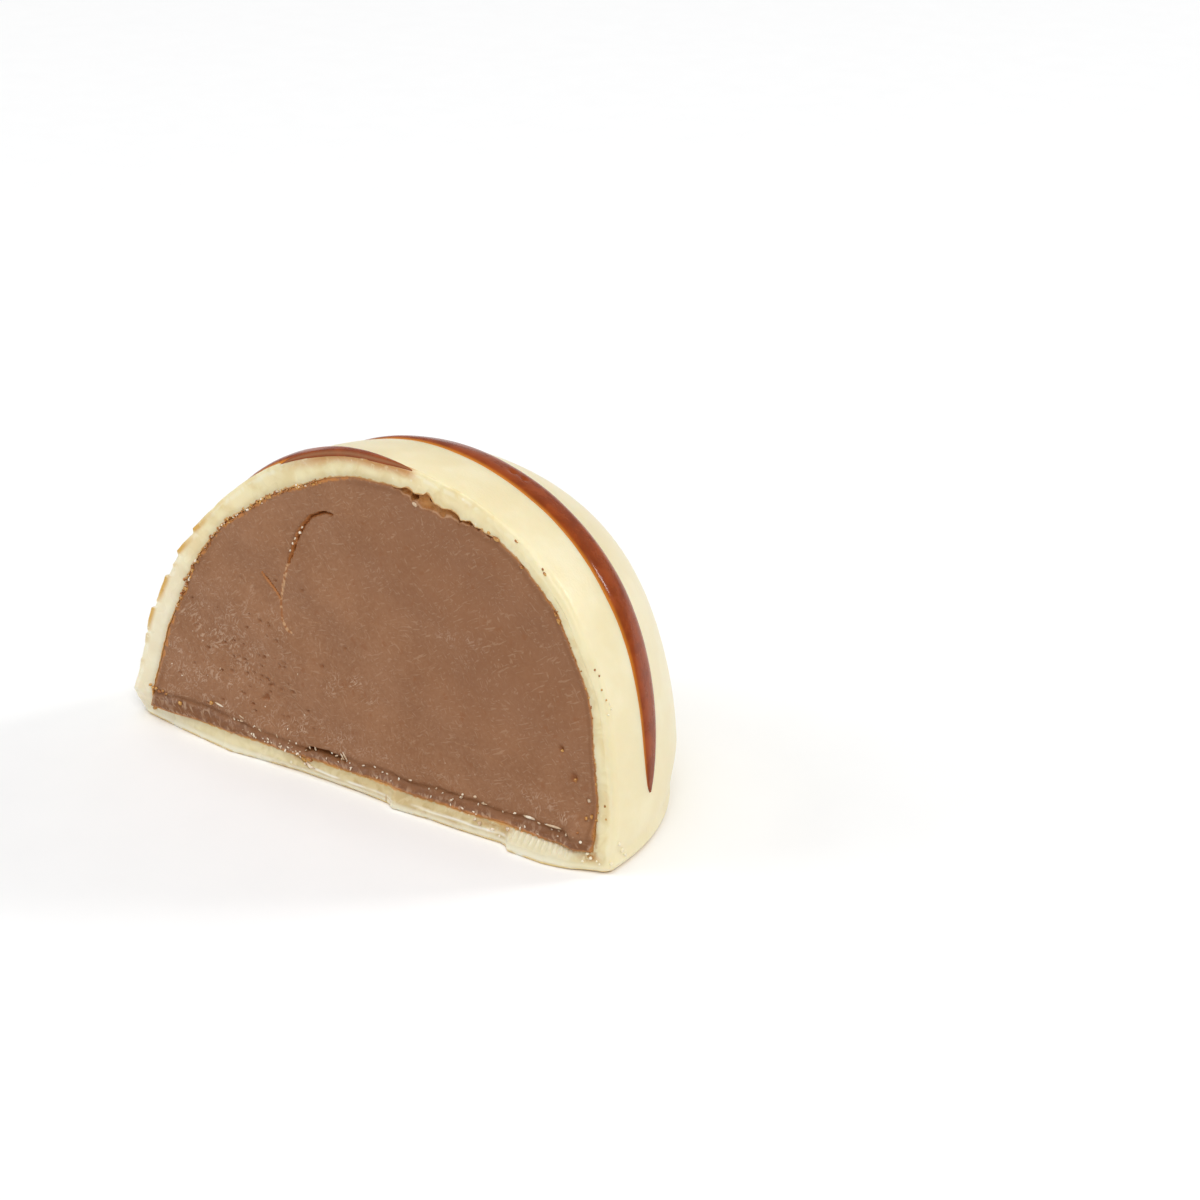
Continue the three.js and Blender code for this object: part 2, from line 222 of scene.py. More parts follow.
# Where the coat meets the filling, by the angle above the ground: how far the coat's lining
# stands out from its plain dome, then how wide the filling's broken shelf is, where the coat
# has come away from it.
LINING_PLACES = [
    (0, -0.08), (8, -0.06), (15, 0.0), (25, 0.0), (38, 0.12), (44, 0.2), (48, 0.35), (60, 0.35),
    (62, 0.42), (63, 0.35), (64.8, 0.25), (65.2, 0.3), (66.4, 0.15), (67.5, 0.27), (68.4, 0.1),
    (69.3, 0.03), (70, 0.2), (71.4, 0.23), (73, 0.07), (74.6, 0.15), (75.9, 0.4), (76.6, 0.45),
    (76.9, 0.32), (78, 0.2), (79, 0.16), (79.7, 0.22), (80.4, 0.27), (82.3, 0.1), (92, 0.08),
    (103, -0.1), (114, 0.02), (120, 0.1), (126, 0.33), (133, 0.3), (139, 0.22), (145, 0.08),
    (160, 0.04), (168, 0.1), (172, 0.2), (180, 0.1),
]
SHELF_PLACES = [
    (62, 0.0), (63.5, 0.14), (65, 0.03), (66.4, 0.1), (67.5, 0.24), (69, 0.14), (70, 0.38),
    (72.5, 0.5), (74.6, 0.52), (75.6, 0.72), (76.6, 0.86), (77.4, 0.62), (78.2, 0.45),
    (79.2, 0.32), (80.4, 0.5), (81, 0.45), (82.2, 0.12), (83.6, 0.04), (85, 0.0),
]
SHELF_DEPTH = 0.32

# Deep pockets beside that shelf, as angle, distance from the middle of the cut edge and
# radius, then the angles between which the edge is torn and drawn more finely.
POCKETS = [
    (79.0, 16.5, 0.26), (75.9, 16.75, 0.14), (69.6, 16.7, 0.19), (67.5, 16.83, 0.17),
    (65.7, 16.95, 0.12), (63.4, 17.0, 0.12),
]
POCKET_DEPTH = 1.3
TORN_FROM = 58
TORN_TO = 87
TORN_BORDER = 4
TORN_FINER = 2.2
TEAR_FADE = 1.2

# Small pits in the filling's cut, most of them at the lower left, then a few larger ones.
PIT_COUNT = 64
PIT_MIDDLE = -7.2
PIT_SPREAD = 2.4
PIT_HEIGHTS = (3.0, 1.1)
PIT_LOWEST = 1.6
PIT_RADIUS = (0.05, 0.1)
PIT_DEPTH = (0.06, 0.13)
LARGER_PITS = [(12.86, 4.4, 0.2), (12.07, 5.66, 0.15), (13.7, 3.4, 0.12), (-6.0, 3.5, 0.16)]
LARGER_PIT_DEPTH = 0.16

# Where the blade left the filling dull and pale: over its left side, along its foot, and in
# spots that have a place, a width, a height and a strength.
FROST_LEFT = (3.0, 7.5)
FROST_UP = (6, 11)
FROST_FOOT = 2.4
SCUFFS = [
    (-0.6, 5.7, 1.0, 0.45, 1.0), (0.3, 5.1, 0.8, 0.3, 1.0), (-1.9, 5.0, 0.6, 0.3, 0.6),
    (10.6, 2.45, 1.6, 0.5, 1.0), (12.2, 2.3, 0.8, 0.4, 0.9), (-8.7, 3.6, 1.8, 0.7, 0.8),
    (-6.4, 5.9, 1.2, 0.6, 0.6), (-3.8, 2.4, 3.0, 0.5, 0.8), (-10.8, 2.0, 1.4, 0.5, 0.8),
    (2.8, 2.2, 2.6, 0.4, 0.6), (6.0, 9.6, 1.6, 0.5, 0.4),
]

# Crumbs and droplets that can be told apart on the cut: place, size, length and turn.
PALE_CRUMBS = [
    (7.49, 0.84, 0.08, 1.4, 40), (7.8, 0.72, 0.1, 1.2, 100), (8.52, 0.61, 0.08, 1.5, 10),
    (9.0, 0.43, 0.06, 1.3, 60), (9.4, 0.87, 0.09, 1.2, 30), (10.4, 1.6, 0.07, 5.5, 0),
    (11.9, 1.62, 0.06, 9.0, 2), (6.27, 1.44, 0.07, 1.6, 20), (6.39, 1.64, 0.06, 1.4, 70),
    (7.17, 1.76, 0.07, 1.3, 0), (7.65, 1.53, 0.06, 1.5, 120), (-1.15, 1.55, 0.05, 5.0, 118),
    (-0.95, 1.62, 0.05, 5.0, 122), (3.29, 15.87, 0.09, 1.9, 150), (13.7, 3.42, 0.1, 1.2, 30),
    (-9.2, 2.22, 0.045, 7.0, 168), (-7.6, 2.0, 0.035, 5.0, 160), (-3.0, 0.66, 0.07, 3.0, 140),
    (-2.75, 0.6, 0.05, 3.0, 165), (-3.3, 0.6, 0.05, 2.0, 120), (-3.7, 13.1, 0.05, 1.3, 70),
    (-3.84, 12.79, 0.07, 1.2, 0), (-4.12, 12.42, 0.06, 1.5, 60), (-4.26, 12.15, 0.05, 1.4, 100),
    (-4.4, 11.75, 0.04, 1.6, 80), (13.65, 1.5, 0.07, 1.2, 0),
]
CORNER_DROPLETS = [
    (13.93, 0.89, 0.09, 1.3, 20), (14.14, 0.72, 0.08, 1.1, 0), (13.8, 0.55, 0.06, 1.4, 10),
    (14.6, 0.5, 0.06, 1.2, 40), (14.45, 0.62, 0.05, 1.0, 0),
]
AMBER_CRUMBS = [
    (-13.92, 0.65, 0.1, 1.4, 20), (-9.73, 2.17, 0.11, 1.1, 0), (13.72, 10.05, 0.05, 1.5, 60),
    (14.61, 3.4, 0.05, 1.3, 90), (14.7, 2.75, 0.045, 1.2, 90), (-13.9, 2.1, 0.08, 1.3, 30),
    (-13.72, 1.98, 0.09, 1.2, 0), (-13.5, 2.0, 0.07, 1.6, 20), (-13.3, 1.88, 0.09, 1.3, 150),
    (-13.05, 1.96, 0.07, 1.5, 10), (-12.85, 1.84, 0.08, 1.2, 60), (-11.8, 1.62, 0.1, 1.3, 140),
    (13.68, 2.57, 0.09, 1.3, 80), (13.72, 3.4, 0.08, 1.4, 60), (-3.05, 0.95, 0.1, 2.2, 165),
    (-3.45, 0.86, 0.1, 2.0, 150), (-3.15, 0.7, 0.08, 2.6, 135), (-3.8, 0.95, 0.07, 2.0, 170),
    (-2.9, 15.5, 0.06, 1.5, 20), (8.05, 15.2, 0.1, 1.9, 160), (7.6, 15.4, 0.07, 1.5, 150),
    (9.1, 15.3, 0.05, 2.2, 150), (10.8, 14.1, 0.06, 2.0, 130), (10.65, 14.28, 0.05, 1.5, 120),
    (9.5, 14.15, 0.07, 1.6, 140), (11.7, 12.0, 0.08, 2.0, 110), (11.5, 12.3, 0.06, 2.0, 115),
    (12.9, 4.25, 0.09, 1.3, 50), (12.1, 5.55, 0.07, 1.2, 0), (13.95, 2.7, 0.08, 1.5, 90),
    (13.5, 1.95, 0.06, 1.3, 20),
]

# The same on the coat's outside: angle about the crown line, height and size.
CRUMBS_ON_DOME = [(-2.0, 9.79, 0.045), (-2.6, 9.19, 0.05), (-2.1, 8.68, 0.045)]
DROPLETS_ON_DOME = [
    (-2.8, 1.45, 0.09), (-1.5, 0.94, 0.1), (-0.7, 0.62, 0.08), (-5.0, 0.62, 0.09),
    (-1.4, 8.41, 0.04), (-1.3, 8.19, 0.05), (-2.6, 8.02, 0.04),
]

# How long the crumbs on the outside are and how they are turned, then how deep every crumb
# is pressed in and how uneven it is, as shares of its size.
DOME_CRUMB = (1.2, 90)
CRUMB_SUNK = 0.3
CRUMB_KNOCKED = 0.2

# ---- The drizzle, as in the CAD ----

# Each stripe runs between two angles above the ground. Its middle lies behind the cut edge
# by an amount over the crown, which changes toward a side and close to its right tip.
# A pit has a share of the length, a share of the width and a radius.
STRIPES = {
    "drizzle_near": dict(
        behind=0.85, slant=-3.2, tip=0.0, half=0.85, start=62.0, end=163.0, dragged=1.0, pits=[]
    ),
    "drizzle_far": dict(
        behind=6.3, slant=-1.9, tip=-1.1, half=1.2, start=11.5, end=166.0, dragged=0.0,
        pits=[(0.405, -0.05, 0.17), (0.39, 0.0, 0.14)],
    ),
}
STRIPE_RISE = 0.18
STRIPE_LENGTH = 40
STRIPE_SINK = 0.08
STRIPE_ROOT = 0.1
STRIPE_PIT_DEPTH = 0.15
TIP_POWER = 10
TAPER_LENGTH = 0.22
TAPER_THINNEST = 0.08
TAPER_LOWEST = 0.25

# ---- The camera, the lights and the floor ----

# The camera is in the CAD's frame, in millimetres.
CAMERA_PLACE = (75.908, -99.359, 63.435)
CAMERA_AIM = (-2.93, 18.36, 0.0)
CAMERA_LENS = 80.23

# Each light has a place, a width, a height and a power. Places are in metres.
LIGHTS_AIM = (0, 0.005, 0.008)
LIGHTS = [
    ("overhead", (0.0, -0.12, 1.3), 1.2, 1.2, 7.2),
    ("key", (0.75, -0.65, 0.95), 0.35, 0.6, 6.15),
    ("fill", (-0.95, -0.55, 0.75), 0.8, 0.8, 4.5),
    ("back", (0.64, 0.78, 0.62), 0.2, 0.2, 3.2),
]
ROOM_LIGHT = 0.30
FLOOR_REACH = 2.0
FLOOR_BELOW = 0.00002

# ---- Colours: one, or a darker and a lighter one that are mixed in patches ----

IVORY_OUTSIDE = ((0.87, 0.745, 0.46), (0.92, 0.81, 0.545))
IVORY_CUT = ((0.80, 0.65, 0.35), (0.89, 0.77, 0.475))
IVORY_LAYER = ((0.76, 0.64, 0.37), (0.83, 0.71, 0.45))
IVORY_DULL = ((0.55, 0.395, 0.18), (0.70, 0.56, 0.31))
COAT_THIN = (0.90, 0.84, 0.68)
LAYER_THIN = (0.81, 0.75, 0.58)
LAYER_FOOT = (0.98, 0.90, 0.70)
COAT_SPECKS = (1.0, 0.97, 0.88)
# A pale lip along the coat's cut edge: partly its own paleness, partly a painted highlight.
COAT_LIP_AND_HIGHLIGHT = (0.97, 0.93, 0.80)
# A painted highlight along the floor layer's ridge.
LAYER_RIDGE_HIGHLIGHT = (1.0, 0.97, 0.90)
RIM_SHADE = (0.56, 0.42, 0.21)
RIM_AMBER = (0.62, 0.28, 0.06)
STAIN = (0.50, 0.25, 0.075)
SMEAR = (0.58, 0.29, 0.09)
# A painted highlight along the smear under the near stripe.
SMEAR_HIGHLIGHT = (0.90, 0.72, 0.50)
BURR_AMBER = (0.62, 0.36, 0.08)
# The foot's amber edge, painted brighter than its own colour to stand in for light in its shade.
FOOT_AMBER_AND_LIGHT = (0.84, 0.58, 0.22)
MILK = ((0.265, 0.116, 0.049), (0.315, 0.145, 0.066))
MILK_GRAIN = (0.42, 0.22, 0.115)
MILK_DEEPER = (0.245, 0.102, 0.042)
MILK_WARM = (0.255, 0.088, 0.025)
MILK_STROKES = (0.52, 0.33, 0.20)
MILK_HAIRS = (0.58, 0.38, 0.24)
MILK_FROST = (0.62, 0.43, 0.30)
MILK_SPECKS = (0.72, 0.55, 0.38)
# Painted shade in the crease above the band.
MILK_CREASE_SHADE = (0.20, 0.078, 0.026)
# Painted shade inside the pits, darker where they are deeper.
MILK_PIT_SHADE = (0.26, 0.085, 0.022)
# The band's darker brown, and the pale streaks of painted sheen along its combing.
MILK_BAND_AND_SHEEN = ((0.19, 0.080, 0.035), (0.40, 0.25, 0.155))
MILK_SEAM = ((0.33, 0.115, 0.03), (0.57, 0.33, 0.165))
MILK_INNER_LINE = (0.225, 0.09, 0.032)
# The shelf's own orange-tan, painted lighter to stand in for light in its shade.
MILK_SHELF = (0.60, 0.28, 0.075)
MILK_SHELF_LIP = (0.64, 0.40, 0.24)
MILK_RIM = (0.54, 0.21, 0.05)
CRACK_SIDE = (0.5, 0.2, 0.06)
# Painted shade deep inside the split, its branch and the slot.
CRACK_SHADE = (0.27, 0.085, 0.018)
DRIZZLE = ((0.21, 0.036, 0.005), (0.33, 0.062, 0.009))
DRIZZLE_EDGE = (0.72, 0.26, 0.03)
# Painted light on the far flank of each stripe.
DRIZZLE_FLANK_LIGHT = (0.46, 0.15, 0.03)
DRIZZLE_DRAGGED = (0.35, 0.155, 0.068)
DRIZZLE_SPECKS = (0.7, 0.35, 0.18)
# Crumbs and droplets: partly their own pale colour, partly a painted glint that makes them paler.
PALE_CRUMB = ((0.62, 0.45, 0.29), (0.92, 0.82, 0.66))
FAT_DROPLET = ((0.90, 0.80, 0.56), (0.96, 0.88, 0.68))
AMBER_CRUMB = ((0.34, 0.115, 0.022), (0.62, 0.33, 0.09))
FLOOR_PAPER = ((0.935, 0.937, 0.938), (0.965, 0.967, 0.968))

# ---- How finely each surface is drawn ----

# Steps round the cut, back over the dome, across the coat's cut and up the filling's, rows
# over what doesn't show, steps of the stripes, and how often a distance is halved.
AROUND = 560
BACKWARD = 70
ACROSS_RING = 20
FILLING_AROUND = 420
FILLING_UP = 190
HIDDEN_ROWS = 12
FLAT_ROWS = 3
STRIPE_STEPS = 320
STRIPE_SIDES = 18
TURN_SAMPLES = 2000
HALVINGS = 34

# How far the filling stays clear of the lining, and a distance past any edge or mark.
LOOSE_FIT = 0.02
FAR_OFF = 9.0


# ---- Numbers ----

def smooth(value, low, high):
    """0 below low, 1 above high, and smooth between them."""
    share = np.clip((value - low) / (high - low), 0, 1)
    return share * share * (3 - 2 * share)


def window(value, rise_from, rise_to, fall_from, fall_to):
    """1 between two soft borders, and 0 outside them."""
    return smooth(value, rise_from, rise_to) * (1 - smooth(value, fall_from, fall_to))


def bell(value, width):
    """1 at 0, falling off on both sides over a width."""
    return np.exp(-((value / width) ** 2))


def spots(x, z, places):
    """Soft spots of (x, z, width, height, strength)."""
    each = [s * bell(np.hypot((x - a) / w, (z - b) / t), 1) for a, b, w, t, s in places]
    return np.maximum.reduce(each)


def lattice(i, j, seed):
    """A random number from 0 to 1 for each cell of a square lattice."""
    mixed = np.sin(i * 127.1 + j * 311.7 + seed * 74.7) * 43758.5453
    return mixed - np.floor(mixed)


def rumple(x, z, size, seed):
    """Soft random hills from -1 to 1, about one size apart."""
    u = x / size
    v = z / size
    i = np.floor(u)
    j = np.floor(v)
    a = smooth(u - i, 0, 1)
    b = smooth(v - j, 0, 1)
    low = lattice(i, j, seed) * (1 - a) + lattice(i + 1, j, seed) * a
    high = lattice(i, j + 1, seed) * (1 - a) + lattice(i + 1, j + 1, seed) * a
    return 2 * (low * (1 - b) + high * b) - 1


def rumple_along(x, size, seed):
    """The same hills along one line."""
    return rumple(x, x * 0, size, seed)


def along_line(x, z, line):
    """Distance from each point to a line of (x, z, width) places, and the width there."""
    nearest = np.full(np.shape(x), 1e9)
    width = np.zeros(np.shape(x))
    for (ax, az, aw), (bx, bz, bw) in zip(line, line[1:]):
        dx = bx - ax
        dz = bz - az
        share = np.clip(((x - ax) * dx + (z - az) * dz) / (dx * dx + dz * dz), 0, 1)
        distance = np.hypot(x - ax - share * dx, z - az - share * dz)
        closer = distance < nearest
        nearest = np.where(closer, distance, nearest)
        width = np.where(closer, aw + share * (bw - aw), width)
    return nearest, width


def groove(x, z, line):
    """1 along the middle of a line, falling to 0 at its sides."""
    distance, width = along_line(x, z, line)
    wander = 1 + 0.35 * rumple(x, z, 0.22, 5)
    return np.clip(1 - distance / (0.5 * width * wander + 0.02), 0, 1)


# ---- The dome ----

def foot_reach(angle):
    """How far the foot reaches from the crown line, in a direction."""
    dx = FOOT_CENTRE[0] - CROWN[0]
    dy = FOOT_CENTRE[1] - CROWN[1]
    along = dx * np.cos(angle) + dy * np.sin(angle)
    across = dx * np.sin(angle) - dy * np.cos(angle)
    return along + np.sqrt(FOOT_RADIUS ** 2 - across ** 2)


def swell(angle, z):
    """How far the real coat stands out from the plain dome, or in from it."""
    turn = np.degrees(np.arctan2(np.sin(angle), np.cos(angle)))
    left = np.maximum(-np.cos(angle), 0)
    low = np.clip(z / SPREAD_HEIGHT, 0, 1)
    spread = np.sin(math.pi * np.sqrt(low)) ** 2
    tuck = (1 - smooth(z, TUCK_FROM, TUCK_UP_TO)) * bell(turn - TUCK_TURN, TUCK_WIDTH)
    seam = bell(z - SEAM_HEIGHT, SEAM_TALL) * (1 - left)
    flatter = bell(z - FLATTER_HEIGHT, FLATTER_TALL) * bell(turn - FLATTER_TURN, FLATTER_WIDTH)
    below = np.clip(1 - z / FOOT_ROUND, 0, 1)
    rounding = FOOT_ROUND * (1 - np.sqrt(1 - below ** 2))
    inward = TUCK_DEPTH * tuck + SEAM_DEPTH * seam + FLATTER_DEPTH * flatter + rounding
    wave = WAVE_WIDE * np.sin(3 * angle + 0.4 * z) + WAVE_NARROW * np.sin(5 * angle - 0.7 * z + 1)
    return SPREAD_REACH * left * spread + wave * np.sqrt(np.clip(1 - z / HEIGHT, 0, 1)) - inward


def burr_reach(z):
    """How far the burrs on the left edge stand out, at a height."""
    reach = np.zeros(np.shape(z))
    for top, bottom, at_top, at_bottom in BURRS:
        share = np.clip((top - z) / (top - bottom), 0, 1)
        window = smooth(z, bottom - 0.1, bottom + 0.04) * (1 - smooth(z, top - 0.04, top + 0.1))
        reach = np.maximum(reach, window * (at_top + share * (at_bottom - at_top)))
    return reach


def plain_dome(angle, z, reach, height):
    """How far a plain dome reaches from its crown line, at a height."""
    share = np.clip(z / height, 0, 1)
    power = SHOULDER_MIDDLE + SHOULDER_SIDE * np.cos(angle)
    return reach * np.sqrt(np.clip(1 - share ** power, 0, 1))


def smooth_coat_edge(x, y, z):
    """How far the coat's outside is from the crown line, in the direction of each point."""
    angle = np.arctan2(y - CROWN[1], x - CROWN[0])
    return plain_dome(angle, z, foot_reach(angle), HEIGHT) + swell(angle, z)


def coat_edge(x, y, z):
    """The same, with the burrs that the knife left beside the cut."""
    behind = np.clip(y - z * CUT_LEAN, 0, FAR_OFF)
    burr = burr_reach(z) + 0.02 * rumple_along(z, 0.3, 9) * (z > 1)
    return smooth_coat_edge(x, y, z) + np.where(x < 0, burr, 0) * bell(behind, BURR_DEPTH)


def lining_edge(x, y, z):
    """How far the coat's lining is from the crown line, before the knife tore it."""
    angle = np.arctan2(y - CROWN[1], x - CROWN[0])
    toward_right = (1 + np.cos(angle)) / 2
    thick = COAT_THICK_LEFT + (COAT_THICK_RIGHT - COAT_THICK_LEFT) * toward_right
    return plain_dome(angle, z, foot_reach(angle) - thick, HEIGHT - COAT_THICK_TOP)


def leaves(edge_at, point_at, count):
    """The distance at which each of many rays leaves a dome, found by halving."""
    inner = np.zeros(count)
    outer = np.full(count, 2 * HEIGHT)
    for _ in range(HALVINGS):
        middle = (inner + outer) / 2
        x, y, z = point_at(middle)
        within = np.hypot(x - CROWN[0], y - CROWN[1]) < edge_at(x, y, z)
        inner = np.where(within, middle, inner)
        outer = np.where(within, outer, middle)
    return inner


# ---- The cut faces ----

def ripple(x, z):
    """The knife's soft waves over the whole cut."""
    return 0.05 * np.sin(0.7 * x + 1.3 * z) + 0.04 * np.sin(1.6 * x - 0.9 * z)


def front_at(x):
    """The floor layer's foot, ridge and top at each place along the cut."""
    places = np.array(FRONT_PLACES)
    return [np.interp(x, places[:, 0], places[:, k]) for k in (1, 2, 3)]


def coat_cut(x, z):
    """How far back the coat's cut face lies."""
    foot, ridge, top = front_at(x)
    keen = 0.05 + 0.2 * (1 - smooth(x, -7, -4))
    below = ridge + (foot - ridge) * np.clip((RIDGE_HEIGHT - z) / RIDGE_HEIGHT, 0, 1)
    rising = (z - RIDGE_HEIGHT) / (FLOOR_THICK - RIDGE_HEIGHT)
    above = ridge + (top - ridge) * np.clip(rising, 0, 1)
    higher = top * (1 - smooth(z, FLOOR_THICK, FRONT_FADE)) + z * CUT_LEAN
    layer = np.where(z < RIDGE_HEIGHT, below, above)
    layer = layer + keen * bell(z - RIDGE_HEIGHT, 0.2 + keen) * 0.3
    layer = layer + z * CUT_LEAN
    mixed = np.where(z < FLOOR_THICK, layer, higher)
    return mixed + ripple(x, z) * smooth(z, *RIPPLE_FROM)


def coat_relief(x, z):
    """Fine marks on the coat's cut: soft knife waves, chips and the scored right-hand part."""
    drag = 0.008 * rumple(x, z, 1.3, 1) + 0.004 * rumple(x, z, 0.35, 2)
    scored = window(x, *SCORED_ALONG) * window(z, *SCORED_UP)
    score = SCORE_DEPTH * np.abs(np.sin(SCORE_TURNS * x + 0.8 * rumple(x, z, 0.9, 3)))
    chipped = bell(x - CHIPPED_PLACE[0], CHIPPED_SIZE[0]) * bell(z - CHIPPED_PLACE[1], CHIPPED_SIZE[1])
    chips = CHIP_DEPTH * np.clip(rumple(x, z, 0.35, 4) + 0.2, 0, 1)
    notch = NOTCH_DEPTH * groove(x, z, NOTCH)
    step = STEP_DEPTH * groove(x, z, STEP_CRACK)
    facets = 0.03 * rumple(x * 0.5, z, 0.4, 6) * smooth(x, -4, -3) * (1 - smooth(z, 1.0, 1.3))
    return drag + scored * score + chipped * chips + notch + step + facets


def layer_masks(x, z):
    """The floor layer's cut, how dull it is, where a highlight is painted along its ridge, where the
    coat is thin, and how much painted shade lies beside the filling.
    """
    layer = 1 - smooth(z + 0.08 * rumple(x, z, 0.8, 61), *LAYER_TOP)
    dull = window(x, *DULL_ALONG) * (0.75 + 0.35 * rumple(x, z, 0.9, 62))
    wander = 0.06 * rumple_along(x, 1.3, 63) + 0.05
    broken = smooth(rumple_along(x, 0.8, 64), -0.6, 0.1)
    # The ridge mask is where a highlight is painted along the floor layer's ridge.
    ridge = bell(z - RIDGE_HEIGHT - wander, 0.05) * window(x, *RIDGE_HIGHLIGHT_ALONG)
    thin = 0.6 * smooth(-x, *THIN_LEFT) + 0.6 * window(x, *THIN_RIGHT) * layer
    # How much painted shade is kept beside the filling: less toward the right.
    shaded = 1 - 0.8 * smooth(x, 5, 9)
    return dict(layer=layer, dull=dull * layer, ridge=ridge * broken, thin=thin, shaded=shaded)


def stain_mask(x, z):
    """Where chocolate from the filling was dragged over the coat's cut."""
    uneven = 0.75 + 0.5 * rumple(x, z, 0.25, 65)
    lines = 0.9 * np.maximum(groove(x, z, STEP_CRACK), 0.8 * groove(x, z, NOTCH))
    return np.clip(np.maximum(1.3 * spots(x, z, STAINS) * uneven, lines), 0, 1)


def edge_lip(x, z, from_edge):
    """The thin lip along the soft right-hand edge."""
    raised = window(x, *LIP_ALONG) * smooth(z, *LIP_ABOVE)
    wander = LIP_INSET + 0.05 * rumple_along(z, 1.2, 67)
    return LIP_RISE * raised * bell(from_edge - wander, LIP_WIDTH)


def smear_mask(x, z, from_edge):
    """Drizzle dragged over the coat's cut under the stripe that the knife passed through."""
    under = window(x, *SMEAR_ALONG) * (z > SMEAR_ABOVE)
    reach = SMEAR_REACH + 0.12 * rumple_along(x, 0.9, 66)
    return under * (1 - smooth(from_edge, 0.35 * reach, reach + 0.12))


def burr_mask(x, z):
    """How much of a burr each place is."""
    tips = np.clip(burr_reach(z) / BURR_FULL, 0, 1) ** 1.1
    return np.where(x < 0, tips, 0.0)


def crease_height(x):
    """How high the crease runs, at a place along the cut."""
    return CREASE_LEFT + (CREASE_RIGHT - CREASE_LEFT) * smooth(x, CREASE_FROM, CREASE_TO)


def crease_wander(x):
    """How far the crease strays from that height."""
    return 0.1 * rumple_along(x, 1.5, 71) + 0.05 * rumple_along(x, 0.5, 72)


def filling_cut(x, z):
    """How far back the filling's cut face lies."""
    height = crease_height(x)
    uneven = CREASE_DEPTH * (0.8 + 0.45 * rumple_along(x, 1.1, 73))
    crease = uneven * bell(z - height - crease_wander(x), CREASE_SPREAD)
    _, _, top = front_at(x)
    forward = np.minimum(top, -0.1) - 0.06
    slope = forward * smooth(height - z, 0, height - FLOOR_THICK)
    sag = SAG_DEPTH * bell(np.hypot(x - SAG_PLACE[0], z - SAG_PLACE[1]), SAG_RADIUS)
    return z * CUT_LEAN + crease + slope - sag + ripple(x, z)


def pits(x, z):
    """How deep the small round pits are, each with a faint raised border."""
    rng = np.random.default_rng(11)
    depth = np.zeros(np.shape(x))
    for _ in range(PIT_COUNT):
        px = rng.normal(PIT_MIDDLE, PIT_SPREAD)
        pz = rng.gamma(*PIT_HEIGHTS) + PIT_LOWEST
        radius = rng.uniform(*PIT_RADIUS)
        near = np.hypot((x - px) * rng.uniform(0.6, 1), z - pz)
        depth = depth + rng.uniform(*PIT_DEPTH) * bell(near, radius)
        depth = depth - 0.03 * bell(near - 1.7 * radius, 0.5 * radius)
    for px, pz, radius in LARGER_PITS:
        depth = depth + LARGER_PIT_DEPTH * bell(np.hypot(x - px, z - pz), radius)
    return depth


def frosting(x, z):
    """How dull and pale the blade left the filling."""
    left = 0.55 * smooth(-x + 1.6 * rumple(x, z, 2.0, 26), *FROST_LEFT) * (1 - smooth(z, *FROST_UP))
    foot = 0.5 * bell(z - FROST_FOOT, 1.0) * smooth(-x, -3, 1)
    return np.maximum.reduce([left, foot, spots(x, z, SCUFFS)])


def filling_relief(x, z):
    """Fine marks on the filling's cut."""
    fine = 0.005 * rumple(x, z, 0.13, 21) + 0.006 * rumple(x, z, 0.35, 22)
    broad = 0.03 * rumple(x, z, 2.4, 23) + 0.012 * rumple(x, z, 1.1, 24)
    curls = 0.035 * np.abs(rumple(x, z, 0.17, 25)) * np.clip(frosting(x, z), 0, 1)
    below = smooth(crease_height(x) - z, 0, 0.1)
    combed = below * (0.012 * rumple(x + 0.7 * z, z * 0.4, 0.15, 27) + 0.03 * rumple(x, z, 0.3, 28))
    return fine + broad + curls + combed + pits(x, z)


def seam_mask(x, z):
    """The seam below the split, and the fainter ones elsewhere."""
    faint = np.maximum.reduce([groove(x, z, line) for line in SEAM_LINES[1:]])
    return np.maximum(groove(x, z, SEAM_LINES[0]), FAINT_SEAM * faint)


def openings(x, z):
    """The split, its branch and the slot, as depth behind the cut."""
    split = SPLIT_DEPTH * groove(x, z, SPLIT) ** 0.5
    branch = BRANCH_DEPTH * groove(x, z, BRANCH) ** 0.7
    slot = SLOT_DEPTH * groove(x, z, SLOT) ** 0.5
    raised = -0.03 * seam_mask(x, z) * rumple(x, z, 0.3, 36)
    return np.maximum.reduce([split, branch, slot]) + raised


def around_cut(x, z):
    """The angle above the ground, in degrees, about the middle of the cut edge."""
    return np.degrees(np.arctan2(z, x))


def read_off(places, angle):
    """A value read off between places of (angle, value)."""
    angles, values = zip(*places)
    return np.interp(angle, angles, values)


def shelf_depth(x, z, from_edge):
    """How far back the filling's broken edge stands behind its cut."""
    angle = around_cut(x, z)
    wide = read_off(SHELF_PLACES, angle) * (1 + 0.2 * rumple(x, z, 0.3, 32))
    on_shelf = (1 - smooth(from_edge, wide - 0.07, wide + 0.01)) * (wide > 0.02)
    uneven = SHELF_DEPTH * (0.6 + 0.5 * smooth(from_edge, 0.4, 0)) + 0.16 * rumple(x, z, 0.22, 33)
    depth = on_shelf * uneven
    for turn, reach, radius in POCKETS:
        px = reach * math.cos(math.radians(turn))
        pz = reach * math.sin(math.radians(turn))
        near = np.hypot(x - px, z - pz) * (1 + 0.3 * rumple(x, z, 0.2, 34))
        depth = np.maximum(depth, POCKET_DEPTH * (1 - smooth(near, 0.5 * radius, radius)))
    return depth


# ---- Meshes ----

def in_frame(points):
    """Points of the cut's frame, in millimetres, as metres in the CAD's frame."""
    return (points - np.array([COAT_LEFT, COAT_FRONT, 0])) * MM + SHELL_CORNER


